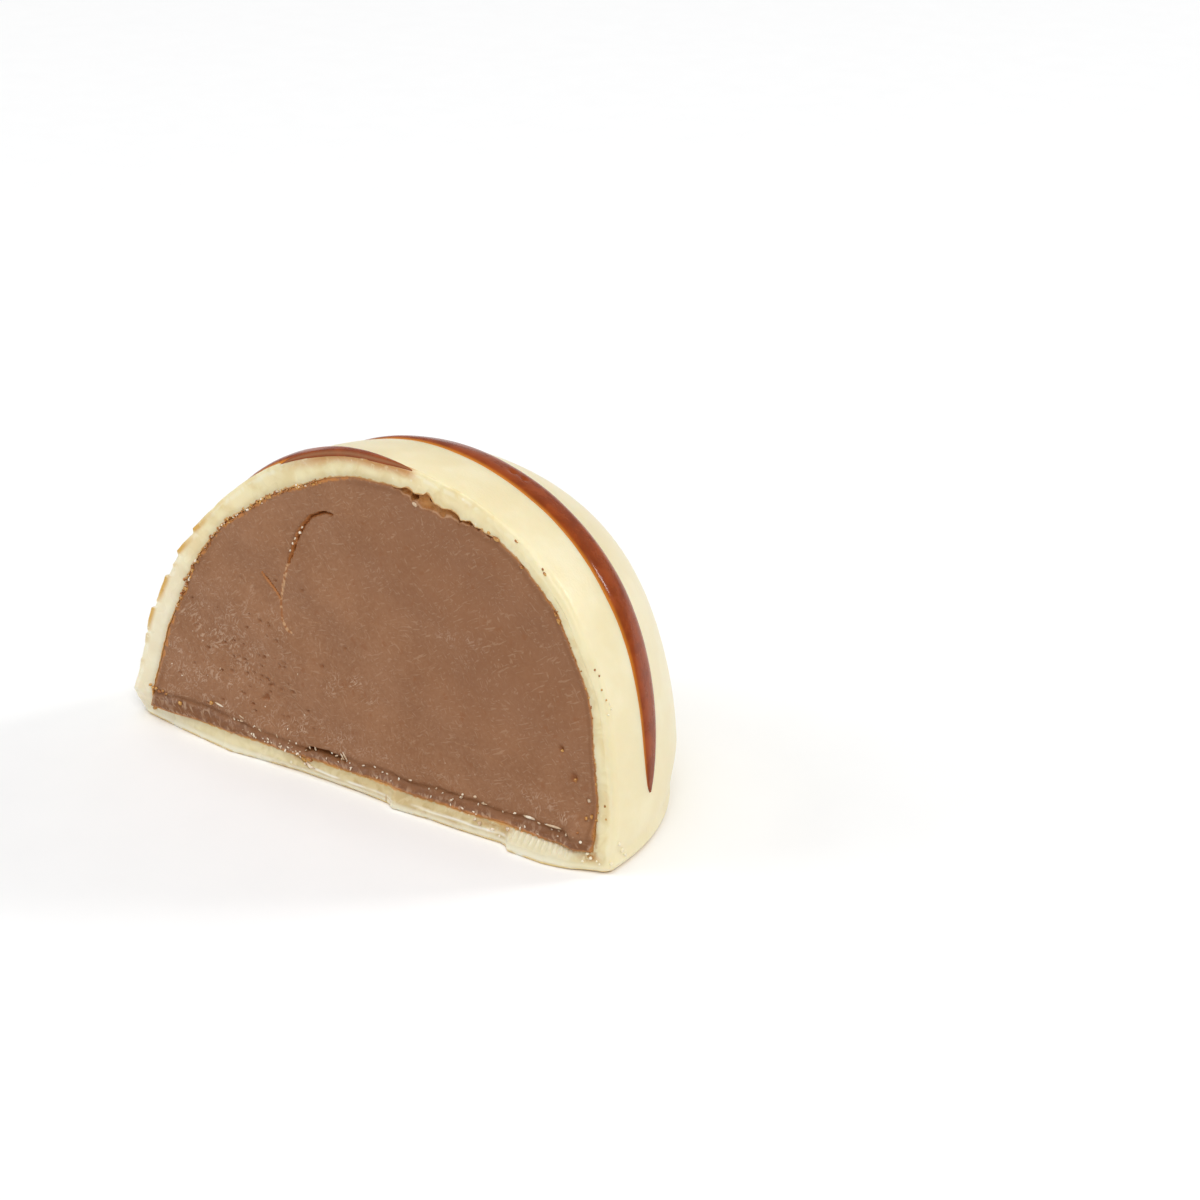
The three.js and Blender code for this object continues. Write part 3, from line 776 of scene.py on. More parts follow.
class Patchwork:
    """Grids of points that share their borders, welded into one closed mesh."""

    def __init__(self):
        """Starts with no points."""
        self.points = []
        self.masks = {}
        self.faces = []
        self.count = 0

    def add(self, grid, **masks):
        """Adds a grid of points, with the masks that lie on it."""
        rows, columns = grid.shape[:2]
        self.points.append(grid.reshape(-1, 3))
        for name, values in masks.items():
            flat = np.broadcast_to(values, (rows, columns)).reshape(-1)
            self.masks.setdefault(name, []).append((self.count, flat))
        index = self.count + np.arange(rows * columns).reshape(rows, columns)
        a = index[:-1, :-1].ravel()
        b = index[1:, :-1].ravel()
        c = index[1:, 1:].ravel()
        d = index[:-1, 1:].ravel()
        self.faces.append(np.stack([a, b, c], 1))
        self.faces.append(np.stack([a, c, d], 1))
        self.count += rows * columns

    def store_masks(self, mesh, kept):
        """Gives the kept points of a mesh their masks, which its material reads."""
        for mask, parts in self.masks.items():
            values = np.zeros(self.count)
            for start, flat in parts:
                values[start:start + len(flat)] = flat
            attribute = mesh.attributes.new(mask, "FLOAT", "POINT")
            attribute.data.foreach_set("value", values[kept].astype(np.float32))

    def mesh(self, name, sharp):
        """The welded mesh in the scene, creased where faces meet at more than an angle."""
        points = np.concatenate(self.points)
        _, first, where = np.unique(np.round(points * 1e4).astype(np.int64), axis=0,
                                    return_index=True, return_inverse=True)
        faces = where.reshape(-1)[np.concatenate(self.faces)]
        a, b, c = faces.T
        faces = faces[(a != b) & (b != c) & (c != a)]
        mesh = bpy.data.meshes.new(name)
        mesh.from_pydata(in_frame(points[first]).tolist(), [], faces.tolist())
        self.store_masks(mesh, first)
        piece = bmesh.new()
        piece.from_mesh(mesh)
        bmesh.ops.recalc_face_normals(piece, faces=piece.faces)
        piece.to_mesh(mesh)
        piece.free()
        mesh.shade_smooth()
        mesh.set_sharp_from_angle(angle=math.radians(sharp))
        return in_scene(name, mesh)


def in_scene(name, data):
    """A new object in the scene, made of a mesh, a light or a camera."""
    thing = bpy.data.objects.new(name, data)
    bpy.context.scene.collection.objects.link(thing)
    return thing


def stacked(x, y, z):
    """Points made from their x, y and z."""
    return np.stack(np.broadcast_arrays(x, y, z), -1)


def between(first, last, shares):
    """A grid whose rows go from one row of points to another."""
    return first[None] + (last - first)[None] * shares[:, None, None]


def swung(first, last, shares, middle, edge_at):
    """A grid that swings over a dome from one row of its points to another."""
    a = first - middle
    b = last - middle
    a = a / np.linalg.norm(a, axis=1, keepdims=True)
    b = b / np.linalg.norm(b, axis=1, keepdims=True)
    turn = np.arccos(np.clip((a * b).sum(1), -1, 1))
    turn = np.maximum(turn, 1e-6)[None, :, None]
    s = shares[:, None, None]
    ways = (np.sin((1 - s) * turn) * a[None] + np.sin(s * turn) * b[None]) / np.sin(turn)
    ways = ways / np.linalg.norm(ways, axis=2, keepdims=True)
    flat = ways.reshape(-1, 3)

    def point_at(distance):
        return tuple((middle + flat * distance[:, None]).T)

    distance = leaves(edge_at, point_at, len(flat))
    grid = (middle + flat * distance[:, None]).reshape(ways.shape)
    grid[0] = first
    grid[-1] = last
    return grid


def cut_outline(edge_at, cut, setback, angles, base):
    """Where a dome's edge shows on a cut face, at angles about the cut's middle."""
    def point_at(distance):
        x = distance * np.cos(angles)
        z = base + distance * np.sin(angles)
        return x, cut(x, z) + setback, z

    distance = leaves(edge_at, point_at, len(angles))
    x, y, z = point_at(distance)
    return stacked(x, y, z)


def foot_line(edge_at, first, last, base, count):
    """The dome's edge at a level, round the back from one point to another."""
    start = math.atan2(first[1] - CROWN[1], first[0])
    end = math.atan2(last[1] - CROWN[1], last[0]) % (2 * math.pi)
    ways = np.linspace(start, end, count)

    def point_at(distance):
        return distance * np.cos(ways), CROWN[1] + distance * np.sin(ways), base + 0 * distance

    distance = leaves(edge_at, point_at, count)
    line = stacked(*point_at(distance))
    line[0] = first
    line[-1] = last
    return line


def eased(count):
    """Shares from 0 to 1, closer together at both ends."""
    return (1 - np.cos(np.linspace(0, math.pi, count))) / 2


def straight_edge(right, left, base, cut, setback, count):
    """The edge of a cut face at a level, from the right to the left."""
    x = np.linspace(right[0], left[0], count)
    line = stacked(x, cut(x, base + 0 * x) + setback, base)
    line[0] = right
    line[-1] = left
    return line


def lining_edge_torn(x, y, z):
    """The lining as the knife left it: uneven at the cut, plain behind it."""
    depth = np.clip(y - z * CUT_LEAN, 0, TEAR_FADE)
    fade = np.sqrt(1 - (depth / TEAR_FADE) ** 2)
    uneven = read_off(LINING_PLACES, around_cut(x, z)) + 0.03 * rumple(x, z, 0.22, 35)
    angle = np.arctan2(z, x)
    plain_x = x - uneven * fade * np.cos(angle)
    plain_z = z - uneven * fade * np.sin(angle)
    moved = np.hypot(x - CROWN[0], y - CROWN[1]) - np.hypot(plain_x - CROWN[0], y - CROWN[1])
    return lining_edge(plain_x, y, plain_z) + moved


def cut_angles(count):
    """Angles round the cut, closer together where the edge is torn."""
    angle = np.linspace(0, 180, TURN_SAMPLES)
    torn = window(angle, TORN_FROM - TORN_BORDER, TORN_FROM, TORN_TO, TORN_TO + TORN_BORDER)
    weight = 1 + TORN_FINER * torn
    reached = np.concatenate([[0], np.cumsum((weight[1:] + weight[:-1]) / 2)])
    return np.radians(np.interp(np.linspace(0, reached[-1], count), reached, angle))


def rounded_off(from_edge, radius):
    """How far a rounded edge falls back, at a distance from it."""
    low = np.clip(1 - from_edge / radius, 0, 1)
    return radius * (1 - np.sqrt(1 - low ** 2))


def edge_round(angles):
    """How much the coat's cut edge is rounded: softer on the right-hand side."""
    return EDGE_ROUND + EDGE_SOFTER * (1 - smooth(np.degrees(angles), *SOFT_TURN))


def foot_round(x):
    """How much the foot of the cut is rounded: softer toward the right corner."""
    return EDGE_ROUND + EDGE_SOFTER * smooth(x, *SOFT_FOOT)


def add_coat_cut(whole, outer, inner, soft):
    """The part of the coat's cut face between its outer edge and the filling."""
    shares = np.linspace(0, 1, ACROSS_RING + 1) ** 1.25
    grid = between(outer, inner, shares)
    x = grid[..., 0]
    z = grid[..., 2]
    wide = np.hypot(inner[:, 0] - outer[:, 0], inner[:, 2] - outer[:, 2])[None]
    from_edge = shares[:, None] * wide
    to_rim = wide - from_edge
    calm = smooth(from_edge, 0, 0.12) * smooth(to_rim, 0, 0.05)
    depth = coat_relief(x, z) * calm + rounded_off(from_edge, soft)
    grid[..., 1] = coat_cut(x, z) + depth - edge_lip(x, z, from_edge)
    rolled = (soft - EDGE_ROUND) / EDGE_SOFTER * (1 - smooth(from_edge, 0.25, 0.6))
    masks = dict(layer_masks(x, z), stain=stain_mask(x, z), smear=smear_mask(x, z, from_edge))
    whole.add(grid, cut=1 - 0.85 * rolled, edge=from_edge, rim=to_rim, burr=burr_mask(x, z), **masks)


def coat_mesh():
    """The coat and its floor layer: cut face, outside, lining and underside."""
    count = AROUND + 1
    angles = cut_angles(count)
    soft = edge_round(angles)
    outer = cut_outline(coat_edge, coat_cut, soft, angles, 0.0)
    inner = cut_outline(lining_edge_torn, coat_cut, 0.0, angles, FLOOR_THICK)
    soft_foot = foot_round(np.linspace(outer[0][0], outer[-1][0], count))
    foot = straight_edge(outer[0], outer[-1], 0.0, coat_cut, soft_foot, count)
    sill = straight_edge(inner[0], inner[-1], FLOOR_THICK, coat_cut, 0.0, count)
    back_foot = foot_line(coat_edge, outer[0], outer[-1], 0.0, count)
    back_sill = foot_line(lining_edge_torn, inner[0], inner[-1], FLOOR_THICK, count)
    whole = Patchwork()
    add_coat_cut(whole, outer, inner, soft)
    add_coat_cut(whole, foot, sill, soft_foot)
    middle = np.array([0, CROWN[1], 0])
    outside = swung(outer, back_foot, eased(BACKWARD + 1), middle, coat_edge)
    behind = np.clip(outside[..., 1] - outside[..., 2] * CUT_LEAN, 0, FAR_OFF)
    burrs = burr_mask(outside[..., 0], outside[..., 2]) * bell(behind, BURR_DEPTH)
    whole.add(outside, cut=0.0, edge=FAR_OFF, rim=FAR_OFF, burr=burrs)
    middle = np.array([0, CROWN[1], FLOOR_THICK])
    lining = swung(inner, back_sill, eased(HIDDEN_ROWS + 1), middle, lining_edge_torn)
    rows = np.linspace(0, 1, FLAT_ROWS + 1)
    whole.add(lining, cut=1.0, edge=FAR_OFF, rim=0.0, burr=0.0)
    whole.add(between(sill, back_sill, rows), cut=1.0, edge=FAR_OFF, rim=0.0, burr=0.0)
    whole.add(between(foot, back_foot, rows), cut=0.0, edge=FAR_OFF, rim=FAR_OFF, burr=0.0)
    return whole.mesh("coat", sharp=50)


def filling_edge(x, y, z):
    """The filling's outside, with a slightly ragged edge at the cut."""
    depth = np.clip(y - z * CUT_LEAN, 0, FAR_OFF)
    upper = smooth(z, 3, 6) * smooth(-x, -4, 0)
    ragged = (0.006 + 0.025 * upper) * (1 + rumple(x, z, 0.2, 41))
    return lining_edge_torn(x, y, z) - LOOSE_FIT - ragged * bell(depth, 0.3)


def lying_square(sill, arc):
    """For each column of the filling's face, the cosine of its slant to the edge it meets."""
    column = arc - sill
    column = column / np.maximum(np.linalg.norm(column, axis=1, keepdims=True), 1e-9)
    outward = arc * (1, 0, 1)
    outward = outward / np.linalg.norm(outward, axis=1, keepdims=True)
    return np.clip((column * outward).sum(1), 0.2, 1)


def filling_masks(x, z, rim, shelved):
    """What the filling's material reads at each place on the cut."""
    height = crease_height(x) + crease_wander(x)
    band = smooth(height - z + 0.12 * rumple(x, z, 0.4, 28), 0.02, 0.22)
    # Where painted shade lies in the crease.
    crease = bell(z - height - 0.04, 0.17) * (0.7 + 0.4 * rumple(x, z, 0.7, 74))
    upper_left = smooth(z, 2.5, 4.5) * smooth(-x, -1, 3)
    to_right = smooth(x + 0.5 * z + 1.5 * rumple(x, z, 3.0, 29), 4, 11)
    return dict(
        rim=rim,
        crack=np.maximum.reduce([groove(x, z, line) for line in (SPLIT, BRANCH, SLOT)]),
        band=band,
        shelf=np.clip(shelved / SHELF_DEPTH, 0, 1),
        seams=seam_mask(x, z),
        frost=np.clip(frosting(x, z), 0, 1),
        deeper=to_right * (0.25 + 0.75 * smooth(z, 3, 8)),
        crease=np.clip(crease, 0, 1),
        grainy=0.35 + 0.65 * upper_left,
        # The pit mask is where painted shade lies in the pits.
        pit=np.clip(pits(x, z) / 0.06 - 0.3, 0, 1),
    )


def filling_mesh():
    """The filling: a finely marked cut face closed by the dome behind it."""
    count = FILLING_AROUND + 1
    angles = cut_angles(count)
    base = FLOOR_THICK + LOOSE_FIT
    arc = cut_outline(filling_edge, filling_cut, 0.03, angles, base)
    sill = straight_edge(arc[0], arc[-1], base, filling_cut, 0.03, count)
    shares = 0.6 * np.linspace(0, 1, FILLING_UP + 1) + 0.4 * eased(FILLING_UP + 1)
    face = between(sill, arc, shares)
    x = face[..., 0]
    z = face[..., 2]
    to_arc = np.hypot(x - arc[None, :, 0], z - arc[None, :, 2])
    to_arc = to_arc * lying_square(sill, arc)[None]
    rim = np.minimum(to_arc, z - base)
    shelved = shelf_depth(x, z, to_arc)
    relief = filling_relief(x, z) * smooth(rim, 0, 0.06)
    face[..., 1] = filling_cut(x, z) + (relief + openings(x, z) + shelved + 0.03 * bell(rim, 0.05))
    face[0] = sill
    arc[:, 1] = np.maximum(arc[:, 1], face[-1, :, 1])
    face[-1] = arc
    whole = Patchwork()
    whole.add(face, **filling_masks(x, z, rim, shelved))
    back_sill = foot_line(filling_edge, arc[0], arc[-1], base, count)
    middle = np.array([0, CROWN[1], base])
    back = swung(arc, back_sill, eased(HIDDEN_ROWS + 1), middle, filling_edge)
    under = between(sill, back_sill, np.linspace(0, 1, FLAT_ROWS + 1))
    for hidden in (back, under):
        whole.add(hidden, rim=0.3, crack=0.0, band=0.0, shelf=1.0, seams=0.0, frost=0.0)
    return whole.mesh("filling_core", sharp=60)


def stripe_points(stripe, angles, aside):
    """Points on the coat along a stripe, off its middle line by an amount."""
    side = np.cos(angles)
    tip = np.where(side > 0, stripe["tip"] * np.clip(side, 0, 1) ** TIP_POWER, 0)
    y = stripe["behind"] + stripe["slant"] * side + tip + aside

    def point_at(distance):
        return CROWN[0] + distance * side, y, distance * np.sin(angles)

    distance = leaves(smooth_coat_edge, point_at, len(angles))
    return stacked(*point_at(distance))


def stripe_outline(stripe, share):
    """Angle, half width and height along a stripe, and where the cut takes its near side."""
    angles = np.radians(stripe["start"] + (stripe["end"] - stripe["start"]) * share)
    taper = np.clip(np.minimum(share, 1 - share) / TAPER_LENGTH, 0, 1)
    full = np.sqrt(taper * (2 - taper))
    width = stripe["half"] * np.maximum(full, TAPER_THINNEST)
    width = width * (1 + 0.035 * rumple_along(share * 30, 1.0, 51))
    rise = STRIPE_RISE * np.maximum(full, TAPER_LOWEST)
    middle = stripe_points(stripe, angles, 0 * angles)
    cut_at = coat_cut(middle[:, 0], middle[:, 2]) - 0.015
    lowest = np.clip((cut_at - middle[:, 1]) / width, -1, 0.96)
    return angles, width, rise, lowest


def stripe_lines(stripe, share, k):
    """One line of points along the top of a stripe, and the line below it in the coat."""
    angles, width, rise, lowest = stripe_outline(stripe, share)
    across = lowest + (1 - lowest) * k / STRIPE_SIDES
    place = stripe_points(stripe, angles, across * width)
    ahead = stripe_points(stripe, angles + 0.004, across * width)
    beside = stripe_points(stripe, angles, across * width + 0.02)
    up = np.cross(beside - place, ahead - place)
    up = up / np.linalg.norm(up, axis=1, keepdims=True)
    up = up * np.sign(up[:, 2:] + 1e-9)
    uneven = 1 + 0.06 * rumple(share * 22, across * 0.6, 1.0, 52)
    height = rise * uneven * (1 - np.abs(across) ** 3.2) - STRIPE_SINK * np.abs(across) ** 8
    for at, aside, radius in stripe["pits"]:
        near = np.hypot((share - at) * STRIPE_LENGTH, (across - aside) * stripe["half"])
        height = height - STRIPE_PIT_DEPTH * bell(near, radius)
    depth = STRIPE_SINK + STRIPE_ROOT * (1 - across ** 2)
    return across, place + up * height[:, None], place - up * depth[:, None]


def stripe_mesh(name, stripe):
    """A stripe of drizzle: a low soft ridge with pointed ends, cut where the knife passed."""
    share = np.linspace(0, 1, 4 * STRIPE_STEPS + 1)
    lowest = stripe_outline(stripe, share)[-1]
    share = np.linspace(share[lowest < 0.94][0], 1, STRIPE_STEPS + 1)
    lines = [stripe_lines(stripe, share, k) for k in range(STRIPE_SIDES + 1)]
    across, top, root = (np.stack(parts) for parts in zip(*lines))
    rows = np.linspace(0, 1, 3)
    whole = Patchwork()
    whole.add(top, across=np.abs(across), behind=across)
    whole.add(root, across=0.0)
    whole.add(between(top[0], root[0], rows), across=0.0, dragged=stripe["dragged"])
    whole.add(between(top[-1], root[-1], rows), across=1.0)
    for column in (0, -1):
        whole.add(between(top[:, column], root[:, column], rows), across=1.0)
    return whole.mesh(name, sharp=45)


# ---- Crumbs ----

def cut_surface(x, z):
    """How far back the cut is at a place: the filling's where that shows, else the coat's."""
    angle = around_cut(x, z)
    lining = lining_edge(x, z * CUT_LEAN, z) + read_off(LINING_PLACES, angle)
    on_filling = (np.hypot(x - CROWN[0], z * CUT_LEAN - CROWN[1]) < lining) & (z > FLOOR_THICK)
    back = coat_cut(x, z)
    from_edge = coat_edge(x, back, z) - np.hypot(x - CROWN[0], back - CROWN[1])
    coat = back + coat_relief(x, z) + rounded_off(from_edge, edge_round(np.radians(angle)))
    return np.where(on_filling, filling_cut(x, z) + filling_relief(x, z), coat)


def on_cut(x, z, size):
    """A place on the cut, so that most of a crumb stands out of it."""
    return x, float(cut_surface(np.array(x), np.array(z))) - CRUMB_SUNK * size, z


def on_dome(degrees, z, size):
    """A place on the coat's outside, at an angle about the crown line."""
    angle = math.radians(degrees)
    x = CROWN[0] + FOOT_RADIUS * math.cos(angle)
    y = CROWN[1] + FOOT_RADIUS * math.sin(angle)
    reach = float(smooth_coat_edge(x, y, z)) + CRUMB_SUNK * size
    return CROWN[0] + reach * math.cos(angle), CROWN[1] + reach * math.sin(angle), z


def crumb_mesh(name, crumbs, dome_crumbs, seed):
    """Crumbs pressed into the cut and the outside: each has a size, a length and a turn."""
    rng = np.random.default_rng(seed)
    whole = bmesh.new()
    resting = [(on_cut(x, z, size), size, length, turn) for x, z, size, length, turn in crumbs]
    resting += [(on_dome(degrees, z, size), size, *DOME_CRUMB) for degrees, z, size in dome_crumbs]
    for (x, y, z), size, length, turn in resting:
        made = bmesh.ops.create_icosphere(whole, subdivisions=2, radius=size)
        lean = math.radians(turn)
        for corner in made["verts"]:
            knocked = corner.co * (1 + CRUMB_KNOCKED * rng.uniform(-1, 1))
            along = knocked.x * length
            across = along * math.cos(lean) - knocked.z * math.sin(lean)
            upward = along * math.sin(lean) + knocked.z * math.cos(lean)
            corner.co = in_frame(np.array((x + across, y + knocked.y, z + upward)))
    mesh = bpy.data.meshes.new(name)
    whole.to_mesh(mesh)
    whole.free()
    mesh.shade_smooth()
    return in_scene(name, mesh)


def strewn(rng, rules):
    """Crumbs strewn at random: how many, where, from what size to what size, how long."""
    crumbs = []
    for count, place_at, small, large, longest in rules:
        for _ in range(count):
            x, z = place_at(rng)
            size = rng.uniform(small, large)
            length = rng.uniform(1, longest)
            crumbs.append((x, z, size, length, rng.uniform(0, 180)))
    return crumbs


def along_band(rng):
    """Near the crease, all along the cut."""
    x = rng.uniform(-8.5, 12.8)
    return x, float(crease_height(x)) + rng.uniform(-0.3, 0.2)


def beads_in_band(rng):
    """In a row under the crease, at the left."""
    x = rng.uniform(-7.2, -3.5)
    return x, float(crease_height(x)) - 0.3 + rng.normal(0, 0.06)


def along_rim(rng, first, last, inset, spread):
    """Beside the filling's edge, between two angles above the ground."""
    turn = rng.uniform(first, last)
    reach = rim_distance(turn) - rng.normal(inset, spread)
    return reach * math.cos(math.radians(turn)), reach * math.sin(math.radians(turn))


def along_upper_rim(rng):
    """Beside the filling's upper left edge."""
    return along_rim(rng, 98, 150, 0.03, 0.06)


def along_right_rim(rng):
    """Beside the filling's right edge."""
    return along_rim(rng, 6, 56, 0.0, 0.03)


def over_lower_left(rng):
    """Anywhere over the filling's lower left."""
    return rng.uniform(-13.2, -2), rng.uniform(1.9, 6)


def rim_distance(turn):
    """How far the lining's edge is from the middle of the cut edge, at an angle in degrees."""
    way = np.array([math.radians(turn)])
    line = cut_outline(lining_edge_torn, coat_cut, 0.0, way, 0.0)
    return float(np.hypot(line[0, 0], line[0, 2]))


def pale_crumbs():
    """Crumbs of the coat, on the band, the upper rim and the lower left."""
    rules = [
        (60, along_band, 0.025, 0.05, 3.0),
        (36, along_upper_rim, 0.025, 0.06, 1.6),
        (14, over_lower_left, 0.018, 0.03, 2.5),
        (26, beads_in_band, 0.03, 0.055, 1.4),
    ]
    crumbs = PALE_CRUMBS + strewn(np.random.default_rng(7), rules)
    return crumb_mesh("pale_crumbs", crumbs, [], 8)


def fat_droplets():
    """Glossy droplets at the right corner and over the coat beside it."""
    return crumb_mesh("fat_droplets", CORNER_DROPLETS, DROPLETS_ON_DOME, 12)


def amber_crumbs():
    """Crumbs of the filling, along both sides of its rim."""
    rules = [
        (110, along_upper_rim, 0.03, 0.08, 1.8),
        (46, along_right_rim, 0.02, 0.05, 2.0),
    ]
    crumbs = AMBER_CRUMBS + strewn(np.random.default_rng(9), rules)
    return crumb_mesh("amber_crumbs", crumbs, CRUMBS_ON_DOME, 10)


# ---- Materials ----

def add_node(tree, kind, **values):
    """A node with its properties or its sockets set by name. Spaces are written as _."""
    made = tree.nodes.new(kind)
    for name, value in values.items():
        if hasattr(made, name):
            setattr(made, name, value)
        else:
            made.inputs[name.replace("_", " ")].default_value = value
    return made


def feed(tree, socket, value):
    """Links a socket to another one, or sets it to a number or a colour."""
    if isinstance(value, bpy.types.NodeSocket):
        tree.links.new(value, socket)
    elif isinstance(value, tuple):
        socket.default_value = (*value, 1)
    elif value is not None:
        socket.default_value = value


def calculate(tree, operation, first, second=None, third=None):
    """The result of a sum on one to three values. Each may be a number or a socket."""
    made = tree.nodes.new("ShaderNodeMath")
    made.operation = operation
    for socket, value in zip(made.inputs, (first, second, third)):
        feed(tree, socket, value)
    return made.outputs[0]


def inverse(tree, value):
    """1 less a value."""
    return calculate(tree, "SUBTRACT", 1.0, value)


def times(tree, *values):
    """The product of all the values."""
    product = values[0]
    for value in values[1:]:
        product = calculate(tree, "MULTIPLY", product, value)
    return product


def blended(tree, amount, first, second):
    """Mixes two colours. Each may be a colour or a socket."""
    made = tree.nodes.new("ShaderNodeMix")
    made.data_type = "RGBA"
    for socket, value in zip((made.inputs[0], made.inputs[6], made.inputs[7]), (amount, first, second)):
        feed(tree, socket, value)
    return made.outputs[2]


def ramped(tree, value, low, high):
    """0 below low, 1 above high, and smooth between them."""
    made = tree.nodes.new("ShaderNodeMapRange")
    made.interpolation_type = "SMOOTHSTEP"
    made.inputs["From Min"].default_value = low
    made.inputs["From Max"].default_value = high
    tree.links.new(value, made.inputs["Value"])
    return made.outputs[0]


def falling(tree, value, low, high):
    """1 below low, 0 above high, and smooth between them."""
    return inverse(tree, ramped(tree, value, low, high))


def strip(tree, value, rise_from, rise_to, fall_from, fall_to):
    """1 between two soft borders, and 0 outside them."""
    rising = ramped(tree, value, rise_from, rise_to)
    return times(tree, rising, falling(tree, value, fall_from, fall_to))


def patchy(tree, value, low, high, shades):
    """A darker and a lighter shade, mixed in patches."""
    return blended(tree, ramped(tree, value, low, high), *shades)


def tinted(tree, colour, tint, *shares):
    """A colour turned toward a tint, by the product of the shares."""
    return blended(tree, times(tree, *shares), colour, tint)


def mask(tree, name):
    """A mask that was stored with the mesh."""
    return add_node(tree, "ShaderNodeAttribute", attribute_name=name).outputs["Fac"]


def clouds(tree, place, scale, detail, distortion=0.0, roughness=0.5):
    """Soft noise from 0 to 1."""
    made = add_node(tree, "ShaderNodeTexNoise", Scale=scale, Detail=detail, Distortion=distortion,
                    Roughness=roughness)
    tree.links.new(place, made.inputs["Vector"])
    return made.outputs["Fac"]


def stretched(tree, place, scale, turn=(0, 0, 0)):
    """The place stretched, and turned if need be."""
    made = add_node(tree, "ShaderNodeMapping", Scale=scale, Rotation=turn)
    tree.links.new(place, made.inputs["Vector"])
    return made.outputs["Vector"]


def turned(tree, place, degrees):
    """The place turned in the plane of the cut."""
    return stretched(tree, place, (1, 1, 1), (0, math.radians(degrees), 0))


def bent(tree, place, scale, amount):
    """The place pushed about by soft noise, so that lines drawn on it swirl."""
    noise = add_node(tree, "ShaderNodeTexNoise", Scale=scale, Detail=1.0)
    tree.links.new(place, noise.inputs["Vector"])
    push = add_node(tree, "ShaderNodeVectorMath", operation="MULTIPLY_ADD")
    tree.links.new(noise.outputs["Color"], push.inputs[0])
    push.inputs[1].default_value = (amount,) * 3
    tree.links.new(place, push.inputs[2])
    return push.outputs[0]


def strokes(tree, place, degrees, width, length, low, high):
    """Short strokes that lie one way, as a blade leaves them."""
    lying = stretched(tree, turned(tree, place, degrees), (1 / length, 1 / width, 1 / width))
    return ramped(tree, clouds(tree, lying, 1.0, 1.5, 0.0), low, high)


def new_group(name, inputs, outputs):
    """An empty shader group with named number inputs and outputs."""
    group = bpy.data.node_groups.new(name, "ShaderNodeTree")
    for label, value in inputs.items():
        socket = group.interface.new_socket(label, in_out="INPUT", socket_type="NodeSocketFloat")
        socket.default_value = value
    for label in outputs:
        group.interface.new_socket(label, in_out="OUTPUT", socket_type="NodeSocketFloat")
    return group, group.nodes.new("NodeGroupInput"), group.nodes.new("NodeGroupOutput")


def placed(tree, group, **values):
    """A shader group placed in a material, with its own values."""
    made = tree.nodes.new("ShaderNodeGroup")
    made.node_tree = group
    for name, value in values.items():
        made.inputs[name.replace("_", " ")].default_value = value
    return made


def object_place(tree):
    """The place on the piece in millimetres."""
    where = tree.nodes.new("ShaderNodeTexCoord").outputs["Object"]
    return stretched(tree, where, (1 / MM,) * 3)


def hair_marks_group():
    """Thin curled pale marks, such as a blade leaves in soft chocolate."""
    group, given, result = new_group("hair marks", {"Size": 1.0, "Thinness": 0.02}, ["Marks"])
    place = object_place(group)
    scale = calculate(group, "DIVIDE", 1.0, given.outputs["Size"])
    noise = add_node(group, "ShaderNodeTexNoise", Detail=2.0, Distortion=1.6, Roughness=0.55)
    group.links.new(place, noise.inputs["Vector"])
    group.links.new(scale, noise.inputs["Scale"])
    off = calculate(group, "ABSOLUTE", calculate(group, "SUBTRACT", noise.outputs["Fac"], 0.5))
    line = calculate(group, "DIVIDE", off, given.outputs["Thinness"])
    marks = inverse(group, calculate(group, "MINIMUM", line, 1.0))
    broken = ramped(group, clouds(group, place, 1.9, 2.0), 0.5, 0.62)
    group.links.new(calculate(group, "MULTIPLY", marks, broken), result.inputs["Marks"])
    return group


def fat_specks_group():
    """Scattered small specks of cocoa butter."""
    group, given, result = new_group("fat specks", {"Spacing": 1.0, "Size": 0.1}, ["Specks"])
    cells = add_node(group, "ShaderNodeTexVoronoi", Randomness=1.0)
    group.links.new(object_place(group), cells.inputs["Vector"])
    group.links.new(calculate(group, "DIVIDE", 1.0, given.outputs["Spacing"]), cells.inputs["Scale"])
    reach = calculate(group, "DIVIDE", given.outputs["Size"], given.outputs["Spacing"])
    inside = inverse(group, calculate(group, "DIVIDE", cells.outputs["Distance"], reach))
    chosen = calculate(group, "GREATER_THAN", cells.outputs["Color"], 0.55)
    specks = calculate(group, "MULTIPLY", calculate(group, "MAXIMUM", inside, 0.0), chosen)
    group.links.new(specks, result.inputs["Specks"])
    return group


def uneven_tone_group():
    """Soft uneven tone, from 0 to 1, with a little grain."""
    group, given, result = new_group("uneven tone", {"Patches": 0.4, "Grain": 8.0}, ["Tone", "Grain"])
    place = object_place(group)
    for label, target, detail in (("Patches", "Tone", 3.0), ("Grain", "Grain", 5.0)):
        noise = add_node(group, "ShaderNodeTexNoise", Detail=detail, Roughness=0.55)
        group.links.new(place, noise.inputs["Vector"])
        group.links.new(given.outputs[label], noise.inputs["Scale"])
        group.links.new(noise.outputs["Fac"], result.inputs[target])
    return group


def new_material(name):
    """A new material, its nodes and its shader."""
    material = bpy.data.materials.new(name)
    material.use_nodes = True
    tree = material.node_tree
    shader = tree.nodes["Principled BSDF"]
    return material, tree, shader


def finished(tree, shader, colour, roughness, **values):
    """Gives a material its colour, its roughness and its constant values."""
    feed(tree, shader.inputs["Base Color"], colour)
    feed(tree, shader.inputs["Roughness"], roughness)
    for name, value in values.items():
        shader.inputs[name.replace("_", " ")].default_value = value


def bumped(tree, shader, height, distance, strength=1.0):
    """Fine relief on a material, over a distance in millimetres."""
    bump = add_node(tree, "ShaderNodeBump", Distance=distance * MM, Strength=strength)
    tree.links.new(height, bump.inputs["Height"])
    tree.links.new(bump.outputs["Normal"], shader.inputs["Normal"])


